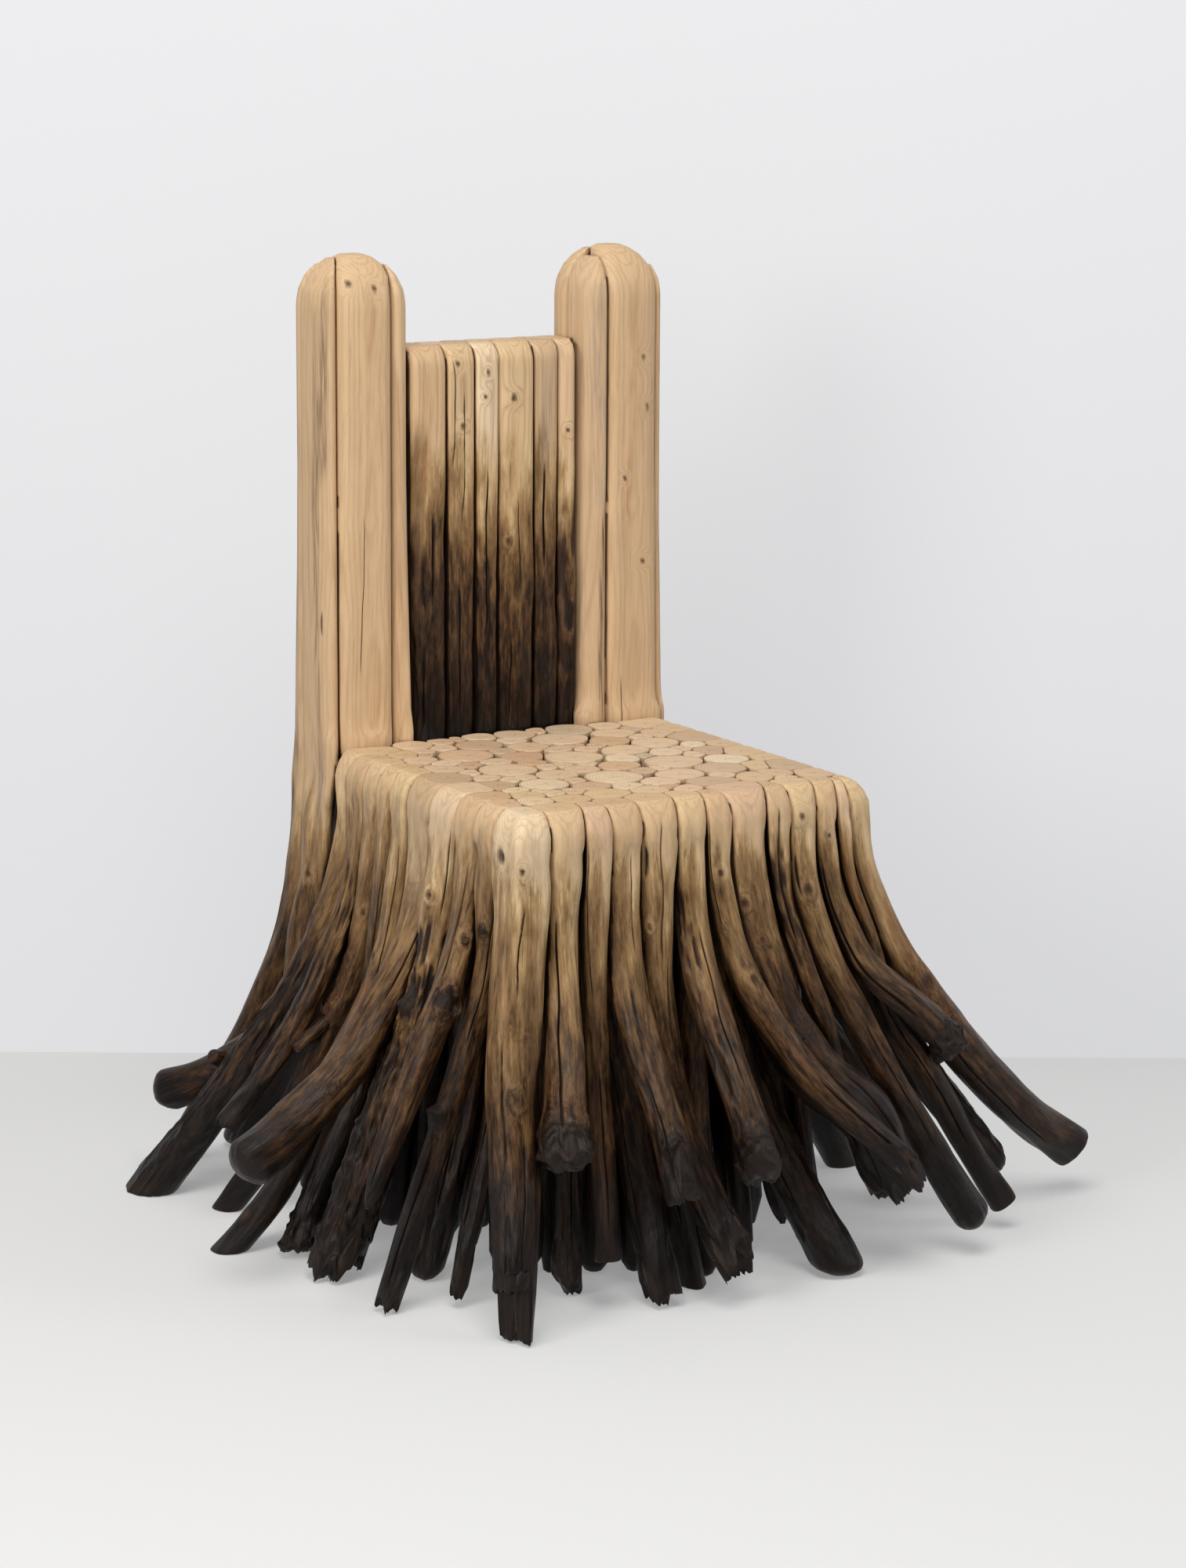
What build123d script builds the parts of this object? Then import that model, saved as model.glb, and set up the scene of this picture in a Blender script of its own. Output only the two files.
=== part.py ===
"""Chair made of a bundle of peeled branches.

Every branch stands upright in the bundle.  The tops are cut and sanded together into
a seat, two round-topped posts and a back panel; below the seat the branches are left
as they grew and spread outwards into a skirt of feet.  Steel rods, hidden inside, tie
the bundle together.  Millimetres, +Z up, front towards -Y, origin on the floor under
the middle of the seat.
"""
from build123d import *
import math
import os
import random

import numpy as np

# ---- driving dimensions -------------------------------------------------------------
SEAT_HEIGHT = 470.0
SEAT_WIDTH = 390.0
SEAT_FRONT = -232.0
BACK_FACE = 232.0
EDGE_DROP = 34.0            # height of the sanded round along the seat's edge
EDGE_INSET = 22.0           # how far that round comes in on top

POST_HEIGHT = 950.0
POST_WIDTH = 100.0
POST_FRONT = 143.0
POST_CORNER = 28.0
POST_DOME = 50.0            # height of the round top
COVE_RADIUS = 26.0          # hollow sweep from the post's front into the seat

PANEL_TOP = 858.0
PANEL_FRONT = 152.0
PANEL_BACK = 224.0
PANEL_ROUND = 20.0

SEAM = 0.5                  # half of the gap between two neighbours in the sanded part
LOOSE_SEAM = 1.1            # the same below it, where the branches are as they grew

BEND_START = SEAT_HEIGHT - EDGE_DROP    # below this height a branch follows its own bend

ROD_RADIUS = 3.0
ROD_CLEARANCE = 0.1

HALF = SEAT_WIDTH / 2
POST_INNER = HALF - POST_WIDTH

# ---- branches around the edge of the seat -------------------------------------------
# name: (share of the edge, foot x, foot y, foot z, girth above foot, girth at foot,
#        height kept upright, slope of the foot in degrees, reach of the foot)
# A foot at height 0 is cut flat and stands on the floor.
FRONT_ROW = {
    "front_branch_1": (42, -182, -296, 150, 19, 25, 190, 80, 60),
    "front_branch_2": (25, -116, -264, 50, 13, 14, 190, 82, 120),
    "front_branch_3": (33, -70, -326, 112, 17, 16, 170, 68, 130),
    "front_branch_4": (40, -2, -320, 30, 18, 21, 230, 56, 150),
    "front_branch_5": (31, 12, -334, 120, 18, 22, 150, 70, 120),
    "front_branch_6": (22, 176, -334, 116, 15, 13, 90, 38, 190),
    "front_branch_7": (47, 196, -300, 72, 27, 25, 130, 58, 150),
    "front_branch_8": (22, 150, -262, 150, 11, 10, 110, 70, 90),
    "front_branch_9": (31, 284, -292, 28, 18, 19, 120, 60, 160),
    "front_branch_10": (23, 292, -246, 192, 15, 18, 110, 40, 110),
    "front_branch_11": (16, 356, -236, 26, 14, 14, 100, 56, 170),
}
LEFT_ROW = {
    "left_branch_9": (30, -300, -166, 0, 13, 13, 170, 74, 150),
    "left_branch_8": (38, -334, -202, 116, 16, 12, 110, 62, 130),
    "left_branch_7": (48, -298, -48, 0, 24, 25, 90, 72, 190),
    "left_branch_6": (50, -398, -64, 126, 21, 26, 110, 24, 190),
    "left_branch_5": (30, -352, 82, 0, 16, 16, 120, 44, 160),
    "left_branch_4": (27, -302, 30, 0, 15, 16, 150, 66, 130),
    "left_branch_3": (28, -292, 208, 0, 15, 13, 120, 50, 160),
    "left_branch_2": (28, -310, 150, 100, 14, 12, 120, 52, 120),
    "left_branch_1": (40, -330, 304, 0, 20, 26, 130, 54, 190),
}
RIGHT_ROW = {
    "right_branch_1": (40, 396, -172, 40, 19, 18, 110, 46, 170),
    "right_branch_2": (48, 330, -92, 0, 22, 22, 150, 62, 150),
    "right_branch_3": (34, 402, -40, 84, 17, 15, 120, 40, 160),
    "right_branch_4": (46, 356, 36, 0, 21, 23, 130, 54, 160),
    "right_branch_5": (36, 398, 98, 62, 17, 17, 120, 44, 160),
    "right_branch_6": (52, 342, 158, 0, 23, 24, 140, 56, 160),
    "right_branch_7": (40, 384, 224, 44, 18, 17, 110, 46, 170),
    "right_branch_8": (46, 306, 268, 0, 20, 22, 130, 54, 160),
}
# the last branch of each side tucks in against its post: (x, y, girth) in plan
TUCKED_IN = {"left_branch_1": (-156, 121, 25), "right_branch_8": (152, 121, 27)}
# branches at the front corners: (x, y, girth) in plan, then the foot as above
CORNERS = {
    "left_corner_branch": (-176, -206, 28, (-240, -306, 0, 25, 19, 230, 78, 170)),
    "right_corner_branch": (186, -212, 22, (492, -172, 46, 23, 22, 110, 30, 170)),
}

# ---- branches of the posts: (x, y, girth) in plan, then the foot as above -------------
# A single number for the foot means a straight branch that ends at that height.
POSTS = {
    "left_post_outer": (-180, 178, 24, (-298, 332, 88, 19, 22, 250, 22, 150)),
    "left_post_front": (-148, 163, 31, 0),
    "left_post_inner": (-106, 163, 14, 40),
    "left_post_rear_outer": (-178, 217, 16, (-262, 392, 0, 17, 18, 200, 56, 170)),
    "left_post_rear_inner": (-128, 214, 26, (-176, 402, 0, 21, 22, 200, 60, 160)),
    "right_post_inner": (108, 163, 21, 0),
    "right_post_front": (150, 163, 31, 0),
    "right_post_outer": (187, 178, 13, (300, 352, 96, 16, 17, 170, 36, 170)),
    "right_post_rear_inner": (112, 215, 20, (142, 396, 0, 19, 20, 200, 60, 160)),
    "right_post_rear_outer": (164, 214, 26, (232, 404, 0, 21, 22, 190, 54, 170)),
}

# ---- branches of the back panel: (x, girth), feet spread behind the seat -------------
PANEL_FRONT_ROW = [(-77, 21), (-40, 16), (-10, 13), (23, 20), (57, 14), (85, 13)]
PANEL_MIDDLE_ROW = [(-81, 12), (-55, 13), (-28, 12), (0, 13), (26, 12), (51, 11), (76, 13)]
PANEL_REAR_ROW = [(-80, 14), (-50, 15), (-20, 14), (11, 16), (42, 14), (72, 15)]

# ---- second ring, just inside the edge: (x, y, girth) and the foot -------------------
SECOND_RING = {
    "under_left_branches": [
        (-142, 92, 17, (-236, 96, 0, 16, 15, 200, 66, 120)),
        (-140, 8, 19, (-248, 10, 30, 17, 16, 200, 66, 120)),
        (-136, -82, 20, (-222, -96, 0, 17, 18, 200, 72, 120)),
        (-128, -136, 14, (-232, -186, 8, 13, 9, 200, 76, 120)),
    ],
    "under_front_branches": [
        (-104, -168, 16, (-124, -206, 0, 15, 15, 230, 80, 120)),
        (-62, -166, 21, (-60, -280, 0, 18, 19, 200, 70, 130)),
        (-16, -170, 15, (4, -236, 0, 14, 15, 200, 74, 120)),
        (56, -166, 22, (142, -284, 0, 22, 26, 230, 60, 150)),
        (104, -166, 17, 30),
    ],
    "under_right_branches": [
        (140, -120, 19, (290, -170, 60, 18, 17, 170, 58, 130)),
        (138, -34, 20, (262, -20, 0, 18, 18, 200, 66, 120)),
        (140, 66, 18, (256, 84, 0, 17, 17, 200, 68, 120)),
    ],
}

# ---- loose twigs that fill the middle of the seat: girth and how many of each ---------
CORE_TWIGS = [(30, 6), (25, 7), (21, 9), (17, 10), (13, 13), (10, 15), (7.5, 13)]
CORE_BANDS = 4              # nodes that the middle is split into, front to back
CORE_SPREAD = 0.20          # how much the middle widens on its way to the floor

PATH_POINTS = 25            # points along the centre line of a branch below the seat
STEP = 2                    # every so many of them carry an outline
MIDDLE_STEP = 8             # the same for the straight twigs in the middle
OUTLINE = 16                # points around each outline
FINE = 48                   # points while it is being shaped


# ---- plan geometry --------------------------------------------------------------------
def box_polygon(x0, y0, x1, y1, corner=0.0):
    """Rectangle, with each corner rounded by four short chords."""
    if corner <= 0:
        return [(x0, y0), (x1, y0), (x1, y1), (x0, y1)]
    points = []
    centres = [(x1 - corner, y0 + corner, -90), (x1 - corner, y1 - corner, 0),
               (x0 + corner, y1 - corner, 90), (x0 + corner, y0 + corner, 180)]
    for cx, cy, start in centres:
        for step in range(5):
            angle = math.radians(start + 22.5 * step)
            points.append((cx + corner * math.cos(angle), cy + corner * math.sin(angle)))
    return points


def clip(polygon, nx, ny, reach):
    """Part of a convex polygon where nx * x + ny * y <= reach."""
    kept = []
    for (ax, ay), (bx, by) in zip(polygon, polygon[1:] + polygon[:1]):
        a = nx * ax + ny * ay - reach
        b = nx * bx + ny * by - reach
        if a <= 0:
            kept.append((ax, ay))
        if (a < 0 < b) or (b < 0 < a):
            share = a / (a - b)
            kept.append((ax + share * (bx - ax), ay + share * (by - ay)))
    return kept


def area_centre(polygon):
    """Area and centroid of a convex polygon."""
    area = cx = cy = 0.0
    for (ax, ay), (bx, by) in zip(polygon, polygon[1:] + polygon[:1]):
        cross = ax * by - bx * ay
        area += cross / 2
        cx += (ax + bx) * cross / 6
        cy += (ay + by) * cross / 6
    if area < 1e-6:
        return 0.0, 0.0, 0.0
    return area, cx / area, cy / area


def overlap(polygon, other):
    """Common part of two convex polygons, both anticlockwise."""
    for (ax, ay), (bx, by) in zip(other, other[1:] + other[:1]):
        if len(polygon) < 3:
            return []
        nx, ny = by - ay, ax - bx
        polygon = clip(polygon, nx, ny, nx * ax + ny * ay)
    return polygon if len(polygon) >= 3 else []


def cell(index, seeds, ground):
    """Share of the ground that branch index takes: everything nearest to it, by girth."""
    xi, yi, ri = seeds[index]
    polygon = ground
    for other, (xj, yj, rj) in enumerate(seeds):
        if other == index or (xi - xj) ** 2 + (yi - yj) ** 2 > 200 ** 2:
            continue
        reach = xj ** 2 + yj ** 2 - xi ** 2 - yi ** 2 - rj ** 2 + ri ** 2
        polygon = clip(polygon, 2 * (xj - xi), 2 * (yj - yi), reach)
    return polygon


def rounded_radii(polygon, centre, power, gap=SEAM, count=FINE):
    """Distances from the centre to a soft-cornered outline just inside the polygon."""
    cx, cy = centre
    walls = []
    for (ax, ay), (bx, by) in zip(polygon, polygon[1:] + polygon[:1]):
        length = math.hypot(bx - ax, by - ay)
        if length < 1e-6:
            continue
        nx, ny = (by - ay) / length, (ax - bx) / length
        walls.append((nx, ny, max(nx * (ax - cx) + ny * (ay - cy) - gap, 0.3)))
    radii = []
    for step in range(count):
        dx, dy = math.cos(math.tau * step / count), math.sin(math.tau * step / count)
        total = sum(((nx * dx + ny * dy) / d) ** power for nx, ny, d in walls if nx * dx + ny * dy > 0)
        radii.append(total ** (-1 / power))
    return radii


# ---- the sanded shape -----------------------------------------------------------------
def seat_ground(z):
    """Outline of the seat block at height z, drawn in along its rounded edge."""
    rise = max(z - (SEAT_HEIGHT - EDGE_DROP), 0.0) / EDGE_DROP
    inset = EDGE_INSET * (1 - math.sqrt(max(1 - rise ** 2, 0.0)))
    return box_polygon(-HALF + inset, SEAT_FRONT + inset, HALF - inset, BACK_FACE, 0)


def post_ground(side, z):
    """Outline of a post at height z: hollow sweep at the foot, dome at the top."""
    centre_x, centre_y = side * (HALF - POST_WIDTH / 2), (POST_FRONT + BACK_FACE) / 2
    sweep = 0.0
    above = z - SEAT_HEIGHT
    if above < COVE_RADIUS:
        sweep = COVE_RADIUS - math.sqrt(COVE_RADIUS ** 2 - (COVE_RADIUS - above) ** 2)
    corner = POST_CORNER * min(1.0, 0.45 + 0.55 * max(above, 0) / 230)
    x0, x1 = -POST_WIDTH / 2, POST_WIDTH / 2
    if side > 0:
        x0 -= sweep
    else:
        x1 += sweep
    y0, y1 = POST_FRONT - centre_y - sweep, BACK_FACE - centre_y
    dome = (z - (POST_HEIGHT - POST_DOME)) / POST_DOME
    scale = math.sqrt(max(1 - dome ** 2, 0.0)) if dome > 0 else 1.0
    shape = box_polygon(x0, y0, x1, y1, corner)
    return [(centre_x + scale * x, centre_y + scale * y) for x, y in shape]


def panel_ground(z):
    """Outline of the back panel at height z, rounded over along its top."""
    rise = z - (PANEL_TOP - PANEL_ROUND)
    inset = 0.0
    if rise > 0:
        inset = PANEL_ROUND - math.sqrt(max(PANEL_ROUND ** 2 - rise ** 2, 0.0))
    return box_polygon(-POST_INNER - 2, PANEL_FRONT + inset, POST_INNER + 2, PANEL_BACK - inset)


SEAT_LEVELS = [SEAT_HEIGHT - EDGE_DROP * (1 - math.sin(math.radians(a))) for a in (90, 76, 60, 40, 20)]
SEAT_LEVELS += [BEND_START]
DOME_LEVELS = [POST_HEIGHT - POST_DOME * (1 - math.sin(math.radians(a))) for a in (86, 76, 64, 50, 34, 16, 0)]
POST_LEVELS = DOME_LEVELS + [820, 740, 660, 580, 530, 500, 486, 477]
PANEL_LEVELS = [PANEL_TOP - PANEL_ROUND * (1 - math.sin(math.radians(a))) for a in (90, 70, 45, 20, 0)]
PANEL_LEVELS += [790, 720, 650, 580, 520, 480]


# ---- one branch -----------------------------------------------------------------------
def spread(z):
    """Widening of the middle of the bundle at height z."""
    return 1 + CORE_SPREAD * ((BEND_START - z) / BEND_START) ** 1.6


class Branch:
    """A branch: its sanded top in the bundle and the bent length below it."""

    def __init__(self, node, x, y, girth, foot, kind="seat"):
        self.node, self.kind = node, kind
        self.seed = (x, y, girth)
        self.squareness = 5 if kind == "middle" else 9
        self.foot = foot
        self.cell = None

    def top_sections(self):
        """Level outlines from the top down to where the branch starts to bend."""
        levels = []
        if self.kind == "middle":
            _, cx, cy = area_centre(self.cell)
            return [(z, self.cell, (cx, cy)) for z in (SEAT_HEIGHT, BEND_START)]
        if self.kind == "post":
            side = 1 if self.seed[0] > 0 else -1
            levels += [(z, overlap(self.cell, post_ground(side, z))) for z in POST_LEVELS]
        elif self.kind == "panel":
            levels += [(z, overlap(self.cell, panel_ground(z))) for z in PANEL_LEVELS]
        grounds = [(z, self.cell if self.kind != "seat" else overlap(self.cell, seat_ground(z)))
                   for z in SEAT_LEVELS]
        if self.kind != "seat":
            grounds = grounds[-1:]
        levels += grounds
        kept = []
        for z, polygon in levels:
            if len(polygon) < 3:
                continue
            area, cx, cy = area_centre(polygon)
            if area > 60:
                kept.append((z, polygon, (cx, cy)))
        return kept

    @property
    def straight(self):
        return not isinstance(self.foot, tuple)

    @property
    def foot_height(self):
        return self.foot if self.straight else self.foot[2]

    def path(self):
        """Centre line below the sanded part, evenly spaced points down to the foot."""
        start = np.array([self.seed[0], self.seed[1], BEND_START])
        if self.straight:
            heights = np.linspace(BEND_START, self.foot_height, PATH_POINTS)
            return np.array([(start[0] * spread(z), start[1] * spread(z), z) for z in heights])
        t = np.linspace(0, 1, 200)[:, None]
        below = -14.0 if self.foot_height == 0 else self.foot_height
        fx, fy, _, _, _, drop, slope, reach = self.foot
        end = np.array([fx, fy, below])
        away = np.array([fx - start[0], fy - start[1], 0.0])
        away /= np.linalg.norm(away)
        slope = math.radians(slope)
        first = start - np.array([0, 0, drop])
        last = end + reach * (np.array([0, 0, math.sin(slope)]) - away * math.cos(slope))
        curve = ((1 - t) ** 3 * start + 3 * t * (1 - t) ** 2 * first
                 + 3 * t ** 2 * (1 - t) * last + t ** 3 * end)
        return even(curve, PATH_POINTS)


def even(curve, count):
    """The same line with its points at equal distances."""
    along = np.concatenate([[0], np.cumsum(np.linalg.norm(np.diff(curve, axis=0), axis=1))])
    wanted = np.linspace(0, along[-1], count)
    return np.stack([np.interp(wanted, along, curve[:, axis]) for axis in range(3)], axis=1)


def settle(paths, girths, stiff, rounds=120):
    """Push the bent branches apart until none touch; tops and stiff branches stay."""
    count = paths.shape[1]
    owner = np.repeat(np.arange(len(paths)), count)
    place = np.tile(np.arange(count), len(paths))
    loose = np.clip((place - 1) / 5.0, 0, 1)
    loose[np.array(stiff)[owner]] = 0
    grown = 0.8 + 0.2 * np.clip((place - 4) / 6.0, 0, 1)
    flat = girths.reshape(-1) * grown
    for turn in range(rounds):
        points = paths.reshape(-1, 3)
        if turn % 12 == 0:
            square = (points ** 2).sum(1)
            distance = np.sqrt(np.maximum(square[:, None] + square[None, :]
                                          - 2 * points @ points.T, 0))
            near = distance < flat[:, None] + flat[None, :] + 24
            near &= owner[:, None] != owner[None, :]
            first, other = np.nonzero(near)
        delta = points[first] - points[other]
        distance = np.linalg.norm(delta, axis=1) + 1e-6
        short = np.maximum(flat[first] + flat[other] + 3 * SEAM - distance, 0)
        push = np.zeros_like(points)
        np.add.at(push, first, delta * (short / distance)[:, None])
        push[:, 2] *= 0.3
        push *= 0.3 * loose[:, None]
        push = push.reshape(paths.shape)
        for _ in range(3):
            push[:, 1:-1] = (push[:, :-2] + 2 * push[:, 1:-1] + push[:, 2:]) / 4
            push[:, -1] = (push[:, -2] + push[:, -1]) / 2
        paths = paths + np.clip(push, -4, 4)
    return paths


def outline_wire(points):
    """Closed smooth wire along points in order."""
    closed = np.vstack([points, points[:1]])
    return Wire([Edge.make_spline([Vector(*p) for p in even(closed, OUTLINE + 1)[:-1]], periodic=True)])


def outlines(branch, sections, path, girths, mood):
    """Rings of points around the path, from the cell's outline to the round branch."""
    _, polygon, centre = sections[-1]
    radii = np.array(rounded_radii(polygon, centre, branch.squareness, LOOSE_SEAM))
    offset = np.array([centre[0] - path[0, 0], centre[1] - path[0, 1], 0.0])
    tangents = np.gradient(path, axis=0)
    tangents /= np.linalg.norm(tangents, axis=1)[:, None]
    if branch.straight:
        tangents = np.tile([0.0, 0.0, -1.0], (PATH_POINTS, 1))
    side = np.array([1.0, 0, 0])
    angles = math.tau * np.arange(FINE) / FINE
    step = MIDDLE_STEP if branch.kind == "middle" else STEP
    centres, rings = [], []
    for index in range(PATH_POINTS):
        t = tangents[index]
        side = side - t * side.dot(t)
        side /= np.linalg.norm(side)
        front = np.cross(-t, side)
        if index == 0 or index % step:
            continue
        mix = max(0.0, 1 - index / 9)
        lump = 1 + 0.05 * np.cos(2 * angles + mood) + 0.035 * np.cos(3 * angles + 2 * mood + index)
        reach = mix * radii + (1 - mix) * girths[index] * lump
        centre = path[index] + mix * offset
        centres.append(centre)
        rings.append(centre + reach[:, None] * (np.cos(angles)[:, None] * side
                                                + np.sin(angles)[:, None] * front))
    return np.array(centres), np.array(rings)


def nearness(points, line, weights):
    """How close points are to a centre line, with the branch's girth taken off."""
    gap = ((points[:, None, :] - line[None, :, :]) ** 2).sum(2) - weights[None, :] ** 2
    return gap.min(1)


def keep_apart(centres, rings, own, others):
    """Pull outline points in until each is on its own branch's side of every neighbour."""
    flat = rings.reshape(-1, 3)
    middle = np.repeat(centres, FINE, axis=0)
    waiting = np.arange(len(flat))
    for _ in range(60):
        here = nearness(flat[waiting], *own)
        crowded = np.zeros(len(waiting), bool)
        for line, weights in others:
            apart = np.sqrt(((middle[waiting][:, None, :] - line[None, ::4, :]) ** 2).sum(2).min(1))
            crowded |= here + 2 * LOOSE_SEAM * apart > nearness(flat[waiting], line, weights)
        waiting = waiting[crowded]
        if len(waiting) == 0:
            break
        flat[waiting] = middle[waiting] + 0.96 * (flat[waiting] - middle[waiting])
    return flat.reshape(rings.shape)


def loft_branch(branch, sections, rings):
    """Solid of one branch: level outlines on top, outlines square to the path below."""
    upper = []
    for z, polygon, (cx, cy) in sections:
        gap = LOOSE_SEAM if z == BEND_START else SEAM
        radii = rounded_radii(polygon, (cx, cy), branch.squareness, gap)
        upper.append(outline_wire([(cx + r * math.cos(math.tau * k / FINE),
                                    cy + r * math.sin(math.tau * k / FINE), z)
                                   for k, r in enumerate(radii)]))
    lower = [outline_wire(ring) for ring in rings]
    whole = Solid.make_loft(upper, True) + Solid.make_loft([upper[-1]] + lower, False)
    return whole.solids()[0]


# ---- the plan: where every branch stands ----------------------------------------------
def edge_rows():
    """Branches along the seat's edge, each at its share of the edge's length."""
    found = []
    for node, (x, y, girth, foot) in CORNERS.items():
        found.append(Branch(node, x, y, girth, foot))
    rows = [(FRONT_ROW, lambda s, r: (-158 + s, SEAT_FRONT + r)),
            (LEFT_ROW, lambda s, r: (-HALF + r, -172 + s)),
            (RIGHT_ROW, lambda s, r: (HALF - r, -195 + s))]
    for row, place in rows:
        along = 0.0
        for node, (share, *foot) in row.items():
            inward = 10 + 0.42 * share
            x, y = place(along + share / 2, inward)
            seed = TUCKED_IN.get(node, (x, y, 4 + 0.52 * share))
            found.append(Branch(node, *seed, tuple(foot)))
            along += share
    return found


def fill_middle(branches):
    """Loose twigs packed between the branches already placed."""
    chance = random.Random(11)
    girths = [girth for girth, many in CORE_TWIGS for _ in range(many)]
    spots = []
    for girth in girths:
        best, best_room = None, -1e9
        for _ in range(60):
            x, y = chance.uniform(-150, 150), chance.uniform(-188, 136)
            room = min(math.hypot(x - px, y - py) - pr for px, py, pr in
                       [b.seed for b in branches] + spots) if branches or spots else 0
            if room - girth > best_room:
                best, best_room = (x, y, girth), room - girth
            if room >= girth:
                break
        spots.append(best)
    spots[0] = (0.0, 0.0, girths[0])
    fixed = np.array([b.seed for b in branches])
    moving = np.array(spots)
    for _ in range(500):
        everyone = np.vstack([fixed, moving])
        delta = moving[:, None, :2] - everyone[None, :, :2]
        distance = np.linalg.norm(delta, axis=2) + 1e-9
        short = moving[:, None, 2] + everyone[None, :, 2] - distance
        own = np.arange(len(moving))
        short[own, len(fixed) + own] = 0
        short = np.maximum(short, 0)
        moving[:, :2] += 0.25 * (delta / distance[:, :, None] * short[:, :, None]).sum(1)
        moving[0, :2] = 0
        moving[:, 0] = np.clip(moving[:, 0], -158, 158)
        moving[:, 1] = np.clip(moving[:, 1], -196, 140)
    return [tuple(spot) for spot in moving.tolist()]


edge = edge_rows()
posts = [Branch(node, x, y, girth, foot, "post")
         for node, (x, y, girth, foot) in POSTS.items()]
panel = []
for number, (x, girth) in enumerate(PANEL_FRONT_ROW, 1):
    panel.append(Branch(f"back_branch_{number}", x, 165, girth, 0 if number % 2 else 45, "panel"))
for number, (x, girth) in enumerate(PANEL_MIDDLE_ROW):
    panel.append(Branch("back_middle_twigs", x, 193, girth, 30 * (number % 3), "panel"))
for number, (x, girth) in enumerate(PANEL_REAR_ROW):
    foot = (1.5 * x, 372 + 16 * (number % 2), 0 if number % 3 else 36, girth, girth, 200, 62, 150)
    panel.append(Branch("back_rear_branches", x, 218, girth, foot, "panel"))
second = [Branch(node, x, y, girth, foot)
          for node, many in SECOND_RING.items() for x, y, girth, foot in many]

fixed = edge + posts + panel + second
chance = random.Random(5)
middle = []
for index, (x, y, girth) in enumerate(fill_middle(fixed)):
    band = min(CORE_BANDS - 1, max(0, int((y + 196) / 336 * CORE_BANDS)))
    end = 0 if index == 0 else chance.choice([0, 0, 12, 30, 55])
    middle.append(Branch(f"seat_middle_{band + 1}", x, y, girth, end, "middle"))
branches = fixed + middle
seeds = [branch.seed for branch in branches]
ground = box_polygon(-HALF, SEAT_FRONT, HALF, BACK_FACE)
for index, branch in enumerate(branches):
    branch.cell = cell(index, seeds, ground)


# ---- bending the branches below the seat ----------------------------------------------
def girth_profile(branch, top_girth):
    """Girth at every point of the path below the bundle."""
    t = np.linspace(0, 1, PATH_POINTS)
    if branch.straight:
        return np.interp(t, [0, 0.4, 1], [top_girth, 0.94 * top_girth, 0.9 * top_girth])
    low, foot = branch.foot[3:5]
    return np.interp(t, [0, 0.25, 0.6, 1], [top_girth, min(top_girth, low), low, foot])


tops = [branch.top_sections() for branch in branches]
girths = np.array([girth_profile(branch, 0.95 * math.sqrt(area_centre(branch.cell)[0] / math.pi))
                   for branch in branches])
paths = np.array([branch.path() for branch in branches])
paths = settle(paths, girths, [branch.straight for branch in branches])

# lines of influence: girth by which neighbours share the room between them
fade = np.clip(np.arange(PATH_POINTS) / 8, 0, 1)
fine = np.linspace(0, PATH_POINTS - 1, 4 * PATH_POINTS)
lines = []
for branch, path, girth in zip(branches, paths, girths):
    weight = (1 - fade) * branch.seed[2] + fade * girth
    if branch.straight:
        weight = branch.seed[2] * np.array([spread(z) for z in path[:, 2]])
    lines.append((np.stack([np.interp(fine, np.arange(PATH_POINTS), path[:, axis])
                            for axis in range(3)], axis=1),
                  np.interp(fine, np.arange(PATH_POINTS), weight)))
all_rings = []
for index, branch in enumerate(branches):
    centres, rings = outlines(branch, tops[index], paths[index], girths[index], 1.7 * index)
    near = [lines[other] for other in range(len(branches)) if other != index
            and np.sqrt(((lines[other][0][::3, None, :] - paths[index][None, :, :]) ** 2).sum(2).min())
            < 130]
    rings = keep_apart(centres, rings, lines[index], near)
    all_rings.append(rings)


# ---- solids ---------------------------------------------------------------------------
def rod(start, end):
    """Straight steel rod between two points."""
    start, end = Vector(*start), Vector(*end)
    return Solid.make_cylinder(ROD_RADIUS, (end - start).length, Plane(start, z_dir=end - start))


def bore(start, end):
    """Hole that a rod is driven into."""
    start, end = Vector(*start), Vector(*end)
    return Solid.make_cylinder(ROD_RADIUS + ROD_CLEARANCE, (end - start).length + 2 * ROD_CLEARANCE,
                               Plane(start - (end - start).normalized() * ROD_CLEARANCE, z_dir=end - start))


RODS = {
    "seat_cross_rods": [((-178, -120, 418), (178, -120, 418)), ((-178, 30, 418), (178, 30, 418))],
    "seat_long_rods": [((-70, -214, 404), (-70, 196, 404)), ((75, -214, 404), (75, 196, 404))],
    "back_cross_rods": [((-180, 188, z), (180, 188, z)) for z in (560, 690, 810)],
}


def drill(solid, bores):
    """Cut every rod's hole that crosses the solid."""
    box = solid.bounding_box()
    for tool in bores:
        reach = tool.bounding_box()
        if all(a <= b for a, b in zip(tuple(box.min), tuple(reach.max))) and all(
                a >= b for a, b in zip(tuple(box.max), tuple(reach.min))):
            cut = solid - tool
            solid = max(cut.solids(), key=lambda piece: piece.volume)
    return solid


floor = Pos(0, 0, -100) * Box(2400, 2400, 200)
bores = [bore(*ends) for many in RODS.values() for ends in many]
nodes = {}
for branch, sections, rings in zip(branches, tops, all_rings):
    solid = loft_branch(branch, sections, rings)
    if solid.bounding_box().min.Z < -0.001:
        solid = max((solid - floor).solids(), key=lambda piece: piece.volume)
    nodes.setdefault(branch.node, []).append(drill(solid, bores))
for name, many in RODS.items():
    nodes[name] = [rod(*ends) for ends in many]

os.makedirs("parts", exist_ok=True)
for name, solids in nodes.items():
    shape = solids[0] if len(solids) == 1 else Compound(children=solids)
    export_step(shape, f"parts/{name}.step")
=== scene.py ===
import math

import bmesh
import bpy
import numpy as np
from mathutils import Matrix, Vector
from mathutils.bvhtree import BVHTree


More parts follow.
